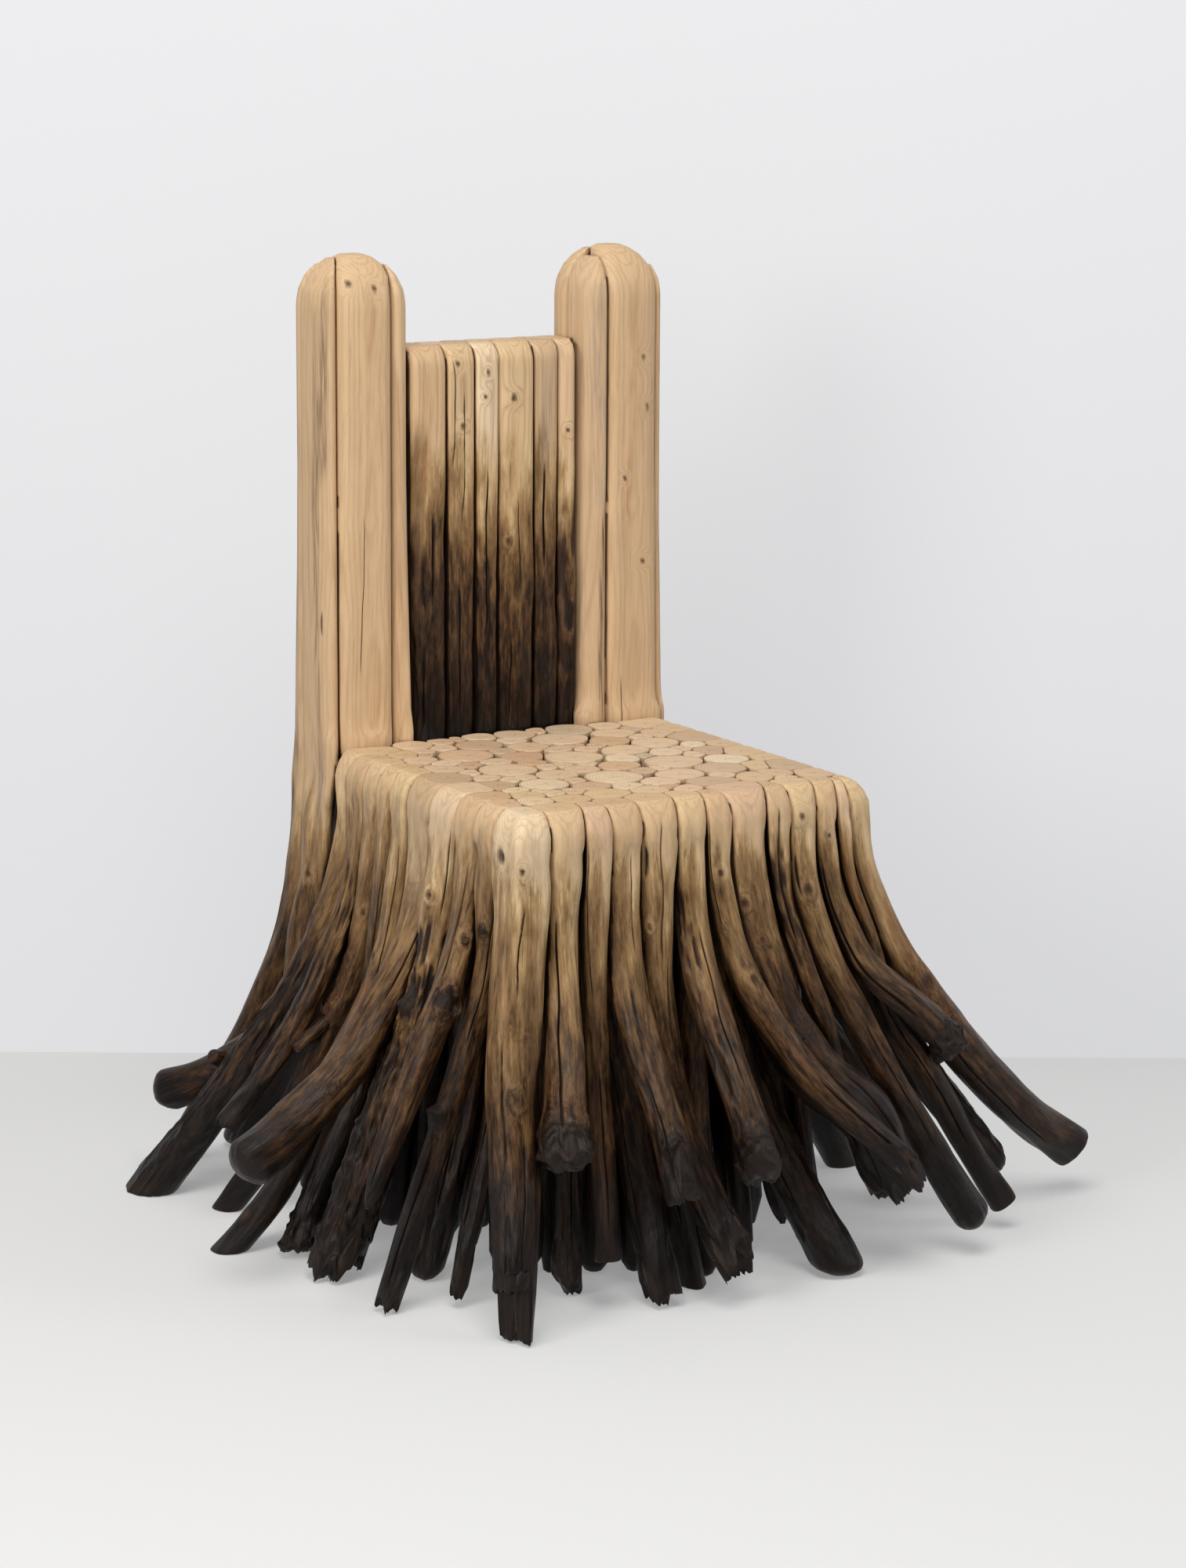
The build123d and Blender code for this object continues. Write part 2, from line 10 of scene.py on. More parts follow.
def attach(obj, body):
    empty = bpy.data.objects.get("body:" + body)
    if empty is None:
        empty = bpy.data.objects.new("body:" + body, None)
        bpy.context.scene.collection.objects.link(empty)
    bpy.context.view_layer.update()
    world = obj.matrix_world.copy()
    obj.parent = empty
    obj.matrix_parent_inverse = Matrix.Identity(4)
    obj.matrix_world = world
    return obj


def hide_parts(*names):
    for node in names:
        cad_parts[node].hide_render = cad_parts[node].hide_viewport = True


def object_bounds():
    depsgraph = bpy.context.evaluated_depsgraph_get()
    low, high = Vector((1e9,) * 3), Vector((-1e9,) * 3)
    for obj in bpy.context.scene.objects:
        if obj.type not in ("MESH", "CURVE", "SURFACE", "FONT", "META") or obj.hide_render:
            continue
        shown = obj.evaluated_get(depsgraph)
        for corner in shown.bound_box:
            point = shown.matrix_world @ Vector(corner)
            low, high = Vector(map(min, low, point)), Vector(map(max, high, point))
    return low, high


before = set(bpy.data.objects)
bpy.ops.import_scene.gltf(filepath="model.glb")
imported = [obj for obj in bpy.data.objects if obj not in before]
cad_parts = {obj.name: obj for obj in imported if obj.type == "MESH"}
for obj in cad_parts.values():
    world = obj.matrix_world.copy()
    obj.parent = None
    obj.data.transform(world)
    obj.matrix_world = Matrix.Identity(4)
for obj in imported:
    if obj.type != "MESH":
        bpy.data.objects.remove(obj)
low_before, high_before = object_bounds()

# ---- camera, light and floor ----------------------------------------------------------
# A long lens at chest height looks down on the chair's front left corner.  The floor and
# the wall behind it are pale paper, lit softly from above and from the left.
HEADING = math.radians(30.516)      # the camera's turn to the right
camera = bpy.data.objects.new("camera", bpy.data.cameras.new("camera"))
camera.data.lens = 97.16
camera.data.clip_end = 50
camera.matrix_world = (Matrix.Translation((-2.0343, -3.4877, 1.2693))
                       @ Matrix.Rotation(-HEADING, 4, "Z")
                       @ Matrix.Rotation(math.radians(78.422), 4, "X")
                       @ Matrix.Rotation(math.radians(0.32), 4, "Z"))
bpy.context.collection.objects.link(camera)
bpy.context.scene.camera = camera
bpy.context.scene.view_settings.view_transform = "Standard"
AIM = Vector((0, 0, 0.4))           # just below the seat


def lamp(name, place, size, power, colour):
    """Soft square lamp that faces the seat."""
    data = bpy.data.lights.new(name, "AREA")
    data.size = size
    data.energy = power
    data.color = colour
    made = bpy.data.objects.new(name, data)
    made.location = place
    made.rotation_mode = "QUATERNION"
    made.rotation_quaternion = (AIM - Vector(place)).to_track_quat("-Z", "Y")
    bpy.context.collection.objects.link(made)


lamp("overhead_softbox", (-0.9, -1.5, 3.2), 1.8, 75, (1, 0.985, 0.96))
lamp("left_softbox", (-3.2, -1.2, 1.7), 1.3, 51, (1, 0.98, 0.95))
lamp("right_softbox", (2.6, -2.8, 2.0), 1.4, 27, (0.97, 0.985, 1))


def feed(node, inputs):
    """Sets or links some of a node's inputs."""
    for key, value in dict(inputs).items():
        if isinstance(value, bpy.types.NodeSocket):
            value.id_data.links.new(value, node.inputs[key])
        else:
            node.inputs[key].default_value = value


def add(tree, kind, inputs=(), **settings):
    """New shader node, with its settings made and its inputs set or linked."""
    node = tree.nodes.new(kind)
    for key, value in settings.items():
        setattr(node, key, value)
    feed(node, inputs)
    return node


def tree_of(values):
    """Node tree of the first socket among sockets and plain values."""
    return next(value for value in values if isinstance(value, bpy.types.NodeSocket)).id_data


def maths(operation, *values):
    """Result of a sum on sockets and numbers."""
    return add(tree_of(values), "ShaderNodeMath", enumerate(values), operation=operation).outputs[0]


def blend(share, first, second, kind="MIX"):
    """Colour between two colours."""
    first_in, second_in = (value if isinstance(value, bpy.types.NodeSocket) else (*value, 1)
                           for value in (first, second))
    return add(tree_of((share, first, second)), "ShaderNodeMix", {0: share, 6: first_in, 7: second_in},
               data_type="RGBA", blend_type=kind).outputs[2]


world = bpy.data.worlds.new("studio")
bpy.context.scene.world = world
world.use_nodes = True
feed(world.node_tree.nodes["Background"], {"Color": (0.9, 0.91, 0.93, 1), "Strength": 0.3})


def new_object(name, points, faces, material):
    """New mesh object of one material."""
    mesh = bpy.data.meshes.new(name)
    mesh.from_pydata(points, [], faces)
    mesh.materials.append(material)
    made = bpy.data.objects.new(name, mesh)
    bpy.context.collection.objects.link(made)
    return made


def paper(name, colour, glow, corners):
    """Flat sheet of the studio, clear from its back.

    What is seen of it is partly its own glow, which lights nothing else.
    """
    material = bpy.data.materials.new(name)
    material.use_nodes = True
    tree = material.node_tree
    shader = tree.nodes["Principled BSDF"]
    rays = add(tree, "ShaderNodeLightPath").outputs
    straight = maths("ADD", rays["Is Camera Ray"], rays["Is Glossy Ray"])
    seen = add(tree, "ShaderNodeMath", {0: straight, 1: rays["Is Transmission Ray"]},
               use_clamp=True).outputs[0]
    half = [0.5 * value for value in colour]
    unlit = [(1 - glow) * value for value in colour]
    feed(shader, {"Base Color": blend(seen, half, unlit), "Roughness": 0.9, "Emission Color": (*colour, 1),
                  "Emission Strength": maths("MULTIPLY", seen, glow)})
    behind = add(tree, "ShaderNodeNewGeometry").outputs["Backfacing"]
    clear = add(tree, "ShaderNodeBsdfTransparent").outputs[0]
    mixed = add(tree, "ShaderNodeMixShader", {0: behind, 1: shader.outputs[0], 2: clear})
    feed(tree.nodes["Material Output"], {"Surface": mixed.outputs[0]})
    made = new_object(name, corners, [(0, 1, 2, 3)], material)


ahead = Vector((math.sin(HEADING), math.cos(HEADING), 0))
wall = ahead * 0.62                                     # the foot of the wall behind the chair
forwards = ahead * 9                                    # the floor's reach on both sides of it
sideways = Vector((ahead.y, -ahead.x, 0)) * 6           # half the width of both papers
upwards = Vector((0, 0, 5))                             # the wall's height
paper("floor", (0.76, 0.76, 0.76), 0.35, [wall - forwards - sideways, wall - forwards + sideways,
                                          wall + forwards + sideways, wall + forwards - sideways])
paper("wall", (0.80, 0.805, 0.825), 0.6, [wall - sideways, wall + sideways,
                                          wall + sideways + upwards, wall - sideways + upwards])

# ---- branches of the front edge -------------------------------------------------------
# Peeled branches, sanded level on top and rounded over the edge, with their natural skin
# below: dry cracks, knots, and ends that are sawn, worn or broken off.
TAU = 2 * math.pi
AROUND = 64                 # directions in which a branch's wall is felt
STEP = 0.004                # metres between two places where its centre is felt for
MOST_STEPS = 400            # in the longest branch
BEND_START = 0.436          # below this height a branch bends
NEARBY = 0.03               # how far outside the wall a neighbour is felt for
# metres below the top, closest over its rounded edge
TOP_STEPS = np.array([0.3, 1, 2, 3.5, 5, 7, 9.5, 12.5, 16, 20, 25, 30, 36]) / 1000
CAP_SHARES = (0.93, 0.8, 0.6, 0.4, 0.2, 0.07)       # sizes of the rings that fill an end


def search_tree(nodes):
    """Search tree of every face in some CAD nodes."""
    points, faces = [], []
    for node in nodes:
        start = len(points)
        points += [vertex.co.copy() for vertex in node.data.vertices]
        faces += [[start + corner for corner in face.vertices] for face in node.data.polygons]
    return BVHTree.FromPolygons(points, faces)


bundle = search_tree([node for name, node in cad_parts.items() if not name.endswith("rods")])


def branches_of(node):
    """Search tree and points of every branch in a CAD node, front to back."""
    work = bmesh.new()
    work.from_mesh(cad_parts[node].data)
    bmesh.ops.remove_doubles(work, verts=work.verts, dist=2e-6)
    left = dict.fromkeys(work.verts)        # dicts keep their order, so every run is the same
    found = []
    while left:
        pile, own = [left.popitem()[0]], []
        while pile:
            vertex = pile.pop()
            own.append(vertex)
            for edge in vertex.link_edges:
                other = edge.other_vert(vertex)
                if other in left:
                    del left[other]
                    pile.append(other)
        index = {vertex: place for place, vertex in enumerate(own)}
        points = [vertex.co.copy() for vertex in own]
        faces = dict.fromkeys(face for vertex in own for face in vertex.link_faces)
        corners = [[index[vertex] for vertex in face.verts] for face in faces]
        found.append((BVHTree.FromPolygons(points, corners), np.array(points)))
    work.free()

    def rank(branch):
        x, y, z = (branch[1][:, axis].mean() for axis in range(3))
        return round(y, 2), round(x, 4), z

    found.sort(key=rank)
    return found


def feel(tree, centre, side, front, count, last=None):
    """Distances from the centre line to the wall, all round."""
    reach = np.empty(count)
    for k in range(count):
        angle = TAU * k / count
        way = side * math.cos(angle) + front * math.sin(angle)
        spot, _, _, distance = tree.ray_cast(centre, way, 0.4)
        if spot is None or (spot.z < 0.0006 and last is not None):
            distance = last[k] if last is not None else 0.01
        reach[k] = distance
    if last is not None:
        reach = np.where(reach < 0.72 * last, last, reach)
    return reach


def room_ahead(tree, spot, way):
    """Distance to the branch's end, looking on past the holes drilled for the rods."""
    gone = 0.0
    while True:
        hit, outward, _, gap = tree.ray_cast(spot + way * gone, way, 2.0)
        if hit is None:
            return gone
        if outward.dot(way) > 0:
            again, _, _, hole = tree.ray_cast(hit + way * 0.0001, way, 0.009)
            if again is None:
                return gone + gap
            gap += hole
        gone += gap + 0.0002


def ring_middle(reach):
    """Area centre of a ring given by its distances, in the ring's plane."""
    angles = TAU * np.arange(len(reach)) / len(reach)
    x, y = reach * np.cos(angles), reach * np.sin(angles)
    x1, y1 = np.roll(x, -1), np.roll(y, -1)
    cross = x * y1 - x1 * y
    area = cross.sum() / 2
    return (x + x1).dot(cross) / 6 / area, (y + y1).dot(cross) / 6 / area


def trace(tree, points):
    """Centre line of a branch from its top to its end, found by feeling for its walls."""
    top = points[:, 2].max()
    crown = points[points[:, 2] > top - 0.0008]
    centre = Vector((*crown[:, :2].mean(0), top - 0.0004))
    down = Vector((0, 0, -1))
    heading = down.copy()
    line, last, held = [], None, 0
    while len(line) < MOST_STEPS:
        side = Vector((1, 0, 0)) - heading * heading.x
        side.normalize()
        front = (-heading).cross(side)
        reach = feel(tree, centre, side, front, 24, last)
        held = held + 1 if last is not None and (reach == last).mean() > 0.5 else 0
        dx, dy = ring_middle(reach)
        if held < 4:
            centre = centre + side * dx + front * dy
        line.append(centre.copy())
        last = reach
        if centre.z < BEND_START and len(line) > 8:
            heading = (line[-1] - line[-7]).normalized()
        room = room_ahead(tree, centre, heading)
        if room < STEP or centre.z < STEP:
            line.append(centre + heading * max(room, 0.0006))
            break
        centre = centre + heading * STEP
    line = np.array([tuple(p) for p in line])
    smooth = line.copy()
    for _ in range(6):
        smooth[1:-1] = (smooth[:-2] + 2 * smooth[1:-1] + smooth[2:]) / 4
    return smooth


def noise(points, seed=0):
    """Smooth random values from -1 to 1 over points in space."""
    base = np.floor(points).astype(np.int64)
    part = points - base
    part = part * part * (3 - 2 * part)
    total = np.zeros(points.shape[:-1])
    for corner in range(8):
        bits = np.array([corner & 1, corner >> 1 & 1, corner >> 2])
        spot = (base + bits).astype(np.uint64)
        mixed = (spot[..., 0] * np.uint64(73856093) ^ spot[..., 1] * np.uint64(19349663)
                 ^ spot[..., 2] * np.uint64(83492791) ^ np.uint64(seed * 7919 + 17))
        mixed = (mixed ^ mixed >> np.uint64(15)) * np.uint64(2246822519)
        mixed = (mixed ^ mixed >> np.uint64(13)) * np.uint64(3266489917)
        value = (mixed >> np.uint64(9) & np.uint64(0xFFFF)).astype(float) / 32767.5 - 1
        total += value * np.prod(np.where(bits, part, 1 - part), axis=-1)
    return total


def ease(value, low, high):
    """0 below low, 1 above high, smooth between."""
    share = np.clip((value - low) / (high - low), 0, 1)
    return share * share * (3 - 2 * share)


def measure(tree, points, spacing, around):
    """Centre line, ring directions, wall distances and room outside the wall of a branch."""
    line = trace(tree, points)
    run = np.concatenate([[0], np.cumsum(np.linalg.norm(np.diff(line, axis=0), axis=1))])
    length = run[-1]
    spots = np.concatenate([TOP_STEPS, np.arange(0.042, length - 0.006, spacing),
                            [length - 0.004, length - 0.0015, length - 0.0004]])
    middle = np.stack([np.interp(spots, run, line[:, axis]) for axis in range(3)], axis=1)
    slope = np.gradient(line, axis=0)
    slope = np.stack([np.interp(spots, run, slope[:, axis]) for axis in range(3)], axis=1)
    slope /= np.linalg.norm(slope, axis=1)[:, None]
    down = np.array([0.0, 0, -1])
    bent = ease(BEND_START - middle[:, 2], 0, 0.05)[:, None]
    way = down + bent * (slope - down)
    if line[-1, 2] < 0.008:
        way = way + ease(0.07 - middle[:, 2], 0, 0.055)[:, None] * (down - way)
    way /= np.linalg.norm(way, axis=1)[:, None]
    sides, fronts, reaches, rooms = [], [], [], []
    side, last = np.array([1.0, 0, 0]), None
    for spot, forward in zip(middle, way):
        side = side - forward * side.dot(forward)
        side /= np.linalg.norm(side)
        front = np.cross(-forward, side)
        last = feel(tree, Vector(spot), Vector(side), Vector(front), around, last)
        room = np.full(around, NEARBY)
        for k in range(0, around, 2):
            out = Vector(side * math.cos(TAU * k / around) + front * math.sin(TAU * k / around))
            _, _, _, gap = bundle.ray_cast(Vector(spot) + out * (last[k] + 0.0003), out, NEARBY)
            if gap is not None:
                room[k] = gap
        room[1::2] = (room[::2] + np.roll(room[::2], -1)) / 2
        sides.append(side)
        fronts.append(front)
        reaches.append(last)
        rooms.append(room)
    return spots, middle, np.array(sides), np.array(fronts), np.array(reaches), np.array(rooms)


def turned(angle, columns):
    """Smallest signed turn from an angle in degrees to each column."""
    return (columns - math.radians(angle) + math.pi) % TAU - math.pi


def closed(place, looks, radius, cap_place):
    """Faces of a tube, with both ends filled by rings that shrink to a point."""
    rows, columns = place.shape[:2]
    grid = np.arange(rows * columns).reshape(rows, columns)
    after = np.roll(grid, -1, axis=1)
    faces = [np.stack([grid[:-1], grid[1:], after[1:], after[:-1]], -1).reshape(-1, 4)]
    points = [place.reshape(-1, 3)]
    layers = {label: [layer.reshape(-1, layer.shape[-1])] for label, layer in looks.items()}
    total = grid.size
    for row in (0, rows - 1):
        rim = grid[row]
        for share in CAP_SHARES + (0.0,):
            own = slice(0, 1) if share == 0 else slice(None)
            points.append(cap_place(row, share)[own])
            grain = looks["grain"][row] * [share, share, 1]
            lay = np.stack([0 * radius[row], np.clip(radius[row] * (1 - share) / 0.01, 0, 1),
                            1 + 0 * radius[row]], -1)
            marks = looks["marks"][row] * [0, 0, 1]
            for label, layer in (("grain", grain), ("lay", lay), ("marks", marks),
                                 ("stains", looks["stains"][row]), ("cast", looks["cast"][row])):
                layers[label].append(layer[own])
            inside = np.full(columns, total) if share == 0 else np.arange(total, total + columns)
            total += 1 if share == 0 else columns
            quad = np.stack([rim, np.roll(rim, -1), np.roll(inside, -1), inside], -1)
            faces.append(quad if row == 0 else quad[:, ::-1])
            rim = inside
    return (np.concatenate(points), np.concatenate(faces),
            {label: np.concatenate(layer) for label, layer in layers.items()})


def skin(tree, points, seed, marks=(), end="worn", shade=0.0, tone=None, lumps=1.0,
         spacing=0.0033, columns=80, bare=(0.447, 0.045), soft=False):
    """Detailed surfaces of one branch and its side twigs, and what the wood looks like there.

    Marks along the branch are in millimetres from its top and degrees around it:
    ("check", from, to, angle, width, depth), ("knot" or "burl", at, angle, radius, rise),
    ("bark", from, to, angle, half width in degrees, strength),
    ("wrinkles", from, to, angle, half width in degrees, height),
    ("twig", at, angle, length, radius, lean) and
    ("grey" or "orange" or "streak", from, to, angle, width).
    Shade is one value, or (place, value) stops along the branch.  Bare is the height below
    which the wood is in its natural skin, and the height over which that comes in.  Soft
    branches have their corners worn rounder.
    """
    coarse = spacing > 0.01
    around = 32 if coarse else AROUND
    spots, middle, sides, fronts, reaches, rooms = measure(
        tree, points, 0.03 if coarse else 0.005, around)
    if soft:
        near = sum(np.roll(reaches, k, axis=1) for k in range(-around // 14, around // 14 + 1))
        reaches = np.minimum(reaches, 1.01 * near / (2 * (around // 14) + 2))
    length = spots[-1]
    rows = np.concatenate([TOP_STEPS, np.arange(0.039, length - 0.005, spacing),
                           [length - 0.003, length - 0.001, length - 0.0003]])
    turn = TAU * np.arange(columns) / columns
    checks = [mark[1:] for mark in marks if mark[0] == "check"]
    mean_reach = reaches.mean()
    # extra columns follow every dry crack
    for _, _, angle, width, _ in checks:
        half = width / 2000 / mean_reach
        turn = turn[np.abs(turned(angle, turn)) > 1.6 * half]
        beside = math.radians(angle) + half * np.array([-1.3, -0.6, 0, 0.6, 1.3])
        turn = np.concatenate([turn, beside % TAU])
    turn = np.sort(turn)
    # every point of the skin: how far down the branch it lies, and which way it faces
    down, facing = np.meshgrid(rows, turn, indexing="ij")

    def at(field, run):
        """What was traced along the branch, at a distance from its top."""
        return np.stack([np.interp(run, spots, field[:, axis]) for axis in range(3)], axis=-1)

    def around_at(field, run, way):
        """What was felt all round the branch, at a distance from its top and a turn."""
        place = np.interp(run, spots, np.arange(len(spots)))
        row = np.clip(place.astype(int), 0, len(spots) - 2)
        share = place - row
        column = way / TAU * around
        left = column.astype(int)
        mix = column - left
        near, far = left % around, (left + 1) % around
        return ((1 - share) * ((1 - mix) * field[row, near] + mix * field[row, far])
                + share * ((1 - mix) * field[row + 1, near] + mix * field[row + 1, far]))

    def wander(index):
        """How far a crack strays from its angle, in radians."""
        return 0.1 * noise(np.stack([down / 0.045, 0 * down, 0 * down], -1), seed + index)

    def marked(*kinds):
        """The marks of some kinds."""
        return [mark for mark in marks if mark[0] in kinds]

    def along(start, stop, lead):
        """1 between two places on the branch, easing to 0 over a lead at both ends."""
        return ease(down, start, start + lead) * (1 - ease(down, stop - lead, stop))

    def within(angle, half, core):
        """1 on the core of a strip along the branch, easing to 0 at its half width."""
        return 1 - ease(np.abs(turned(angle, facing)), math.radians(half) * core, math.radians(half))

    def away(place, angle, size, squeeze=1):
        """How far over the skin each point lies from a spot, in sizes of the mark there."""
        off = turned(angle, facing) * reach / squeeze
        return np.sqrt(off ** 2 + (down - place / 1000) ** 2) / (size / 1000)

    # cracks wander, and so do the columns that follow them
    for index, (_, _, angle, _, _) in enumerate(checks):
        facing = facing + wander(index) * np.exp(-(turned(angle, facing) / 0.5) ** 2)
    reach = around_at(reaches, down, facing % TAU)
    room = around_at(rooms, down, facing % TAU)
    unit = np.stack([np.cos(facing), np.sin(facing)], -1)
    grown = np.concatenate([unit * mean_reach, down[..., None]], -1)
    height = at(middle, down)[..., 2]
    natural = ease(bare[0] - height, 0, bare[1])
    free = 0.45 + 0.55 * ease(room, 0.002, 0.014)
    uneven = (0.0018 * noise(grown / [0.02, 0.02, 0.11], seed)
              + 0.0011 * noise(grown / [0.009, 0.009, 0.06], seed + 1)
              + 0.0005 * noise(grown / [0.0045, 0.0045, 0.025], seed + 2))
    change = natural * (lumps * free * uneven - 0.0009)
    if isinstance(shade, tuple):
        tint = np.interp(down * 1000, *zip(*shade))
    else:
        tint = shade * ease(down, 0.01, 0.1)
    # painted shade in the low parts of bark, burls and swollen knobs, later added to the crevice mask
    bark, fissure_shade = np.zeros_like(down), np.zeros_like(down)
    for _, start, stop, angle, half, strength in marked("bark"):
        patch = along(start / 1000, stop / 1000, 0.03) * within(angle, half, 0.6)
        bark = np.maximum(bark, strength * patch)
    if bark.max() > 0:
        ridge = 1 - 2.4 * np.abs(noise(grown / [0.008, 0.008, 0.04], seed + 3))
        ridge = ridge + 0.5 * (1 - 2.4 * np.abs(noise(grown / [0.0035, 0.0035, 0.016], seed + 4)))
        change = change + bark * natural * 0.0021 * (ridge - 0.9)
        fissure_shade = bark * natural * (1 - ease(ridge, -0.3, 0.55))
        tint = tint + 0.07 * bark * natural * ease(ridge, 0.5, 1.3)
    for _, start, stop, angle, half, rise in marked("wrinkles"):
        patch = along(start / 1000 - 0.004, stop / 1000 + 0.004, 0.008) * within(angle, half, 0.4)
        fold = np.sin(TAU * down / 0.0075 + 2.2 * noise(grown / 0.02, seed + 13))
        change = change + rise / 1000 * patch * fold
    split = np.zeros_like(down)
    for index, (start, stop, angle, width, depth) in enumerate(checks):
        off = np.abs(turned(angle, facing) - wander(index)) * reach / (width / 2000)
        run_in = min(0.03, 0.0004 * (stop - start))
        gape = np.clip(1 - off, 0, 1) * along(start / 1000, stop / 1000, run_in)
        change = change - depth / 1000 * gape
        split = np.maximum(split, ease(gape, 0.05, 0.45))
    knotty, swirl = np.zeros_like(down), np.zeros_like(down)
    for _, place, angle, size, rise in marked("knot"):
        far = away(place, angle, size, 0.8)
        change = change + rise / 1000 * (np.exp(-(far / 1.6) ** 2) - 1.35 * np.exp(-(far / 0.6) ** 2))
        knotty = np.maximum(knotty, np.exp(-(far / 0.8) ** 4))
        swirl = swirl + np.exp(-(far / 2.0) ** 2)
    for _, place, angle, _, size, _ in marked("twig"):
        far = away(place, angle, size)
        change = change + 0.35 * size / 1000 * np.exp(-(far / 1.5) ** 2)
        swirl = swirl + np.exp(-(far / 2.0) ** 2)
    for _, place, angle, size, rise in marked("burl"):
        far = away(place, angle, size)
        rough = noise(grown / 0.008, seed + 14) + 0.6 * noise(grown / 0.0038, seed + 15)
        hump = np.exp(-far ** 2)
        change = change + rise / 1000 * hump * (1 + 0.55 * rough)
        fissure_shade = np.maximum(fissure_shade, np.exp(-(far / 1.1) ** 4) * (1 - ease(rough, -0.5, 0.5)))
        tint = tint - 0.16 * hump
        swirl = swirl + np.exp(-(far / 2.0) ** 2)
    stains = np.zeros(down.shape + (3,))
    for kind, start, stop, angle, width in marked("grey", "orange", "streak"):
        drift = 0.25 * noise(np.stack([down / 0.06, 0 * down, 0 * down + 3], -1), seed + 11)
        band = np.exp(-((turned(angle, facing) + drift) * reach / (width / 2000)) ** 2)
        band = band * along(start / 1000, stop / 1000, 0.04)
        column = ("grey", "orange", "streak").index(kind)
        stains[..., column] = np.maximum(stains[..., column], band)

    # the end: worn round, swollen, pointed, sawn square or aslant, or broken
    from_end = length - down
    near_end = ease(0.075 - from_end, 0, 0.07)
    if end in ("worn", "swollen", "pointed"):
        curve = {"worn": 0.016, "swollen": 0.009, "pointed": 0.07}[end]
        left = np.clip(from_end / curve, 0, 1)
        change = change - reach * (1 - np.sqrt(np.clip(1 - (1 - left) ** 2, 0.05, 1)))
    if end == "swollen":
        knob = np.exp(-((from_end - 0.018) / 0.022) ** 2) * free
        lumpy = noise(grown / [0.012, 0.012, 0.009], seed + 5) + 0.5 * noise(grown / 0.005, seed + 6)
        change = change + knob * (0.1 * reach + 0.0062 * lumpy)
        fissure_shade = np.maximum(fissure_shade, knob * (1 - ease(lumpy, -0.7, 0.3)))
        tint = tint - 0.1 * knob

    def end_shape(x, y):
        """How far the end falls short at a place across the branch."""
        if end in ("broken", "swollen"):
            spot = np.stack([x, y, 0 * x], -1)
            torn = (0.034 * np.abs(noise(spot / [0.017, 0.017, 1], seed + 6))
                    + 0.007 * np.abs(noise(spot / [0.005, 0.005, 1], seed + 7)))
            return torn if end == "broken" else 0.4 * torn
        if isinstance(end, tuple):
            kind, lean, amount = end
            over = x * math.cos(math.radians(lean)) + y * math.sin(math.radians(lean))
            if kind == "aslant":
                return amount * (over + 1.05 * mean_reach)
            ragged = noise(np.stack([x, y, 0 * x], -1) / [0.004, 0.004, 1], seed + 7)
            return amount / 1000 * ease(over + 0.0012 * ragged, -0.002, 0.002) + 0.004 * (1 + ragged)
        return 0 * x

    edge = np.interp(down, [0, 0.0003, 0.001, 0.002], [0.00045, 0.0002, 0.00005, 0])
    edge = edge + np.interp(from_end, [0, 0.0003, 0.001, 0.003], [0.0014, 0.001, 0.0004, 0])
    radius = np.maximum(reach + change - edge, 0.15 * reach)
    where = np.maximum(down - end_shape(unit[..., 0] * radius, unit[..., 1] * radius) * near_end, 0.0002)
    place = at(middle, where) + radius[..., None] * (unit[..., :1] * at(sides, where)
                                                     + unit[..., 1:] * at(fronts, where))
    place = np.clip(place, low_before, high_before)

    def cap_place(row, share):
        """Ring across the top or the end, drawn in to a share of its size."""
        x, y = unit[row, :, 0] * radius[row] * share, unit[row, :, 1] * radius[row] * share
        if row == 0:
            level = at(middle, 0 * x + rows[0])
            level[:, 2] += 0.00018 * (noise(np.stack([x, y, 0 * x], -1) / 0.01, seed + 9) - 1) * (1 - share)
            return level + x[:, None] * sides[0] + y[:, None] * fronts[0]
        short = rows[-1] - end_shape(x, y)
        return at(middle, short) + x[:, None] * at(sides, short) + y[:, None] * at(fronts, short)

    twist = 1.8 * math.sin(seed * 2.3)
    bend = twist * np.maximum(down - 0.05, 0)
    spin = np.stack([unit[..., 0] * np.cos(bend) - unit[..., 1] * np.sin(bend),
                     unit[..., 0] * np.sin(bend) + unit[..., 1] * np.cos(bend)], -1)
    grain = np.concatenate([spin * radius[..., None] * (1 + 0.5 * swirl[..., None]),
                            down[..., None] + 0.004 * swirl[..., None]], -1)
    # painted shade where a neighbouring branch is close and in the fissures; the natural skin is also
    # darker near the end
    crevice_shade_and_dark_end = np.maximum(1 - ease(room, 0.0015, 0.015), 0.75 * natural * ease(0.05 - from_end, 0, 0.045))
    crevice_shade_and_dark_end = np.clip(crevice_shade_and_dark_end + 1.3 * fissure_shade, 0, 1.6) * ease(down, 0.001, 0.007)
    if tone is None:
        tone = 0.5 + 0.5 * math.sin(seed * 12.9898) * math.cos(seed * 4.1)
    # what the materials read: the place in the branch; crack, knot and natural skin; stains by
    # kind; painted shade in crevices and fissures, and darker skin near the end; distance from
    # the rim and whether on an end; tone and shade
    looks = {"grain": grain, "marks": np.stack([split, knotty, natural], -1), "stains": stains,
             "lay": np.stack([crevice_shade_and_dark_end, np.where(down < 0.0004, 0, 1), 0 * down], -1),
             "cast": np.stack([tone + 0 * down, tint, 0 * down], -1)}
    made = [closed(place, looks, radius, cap_place)]

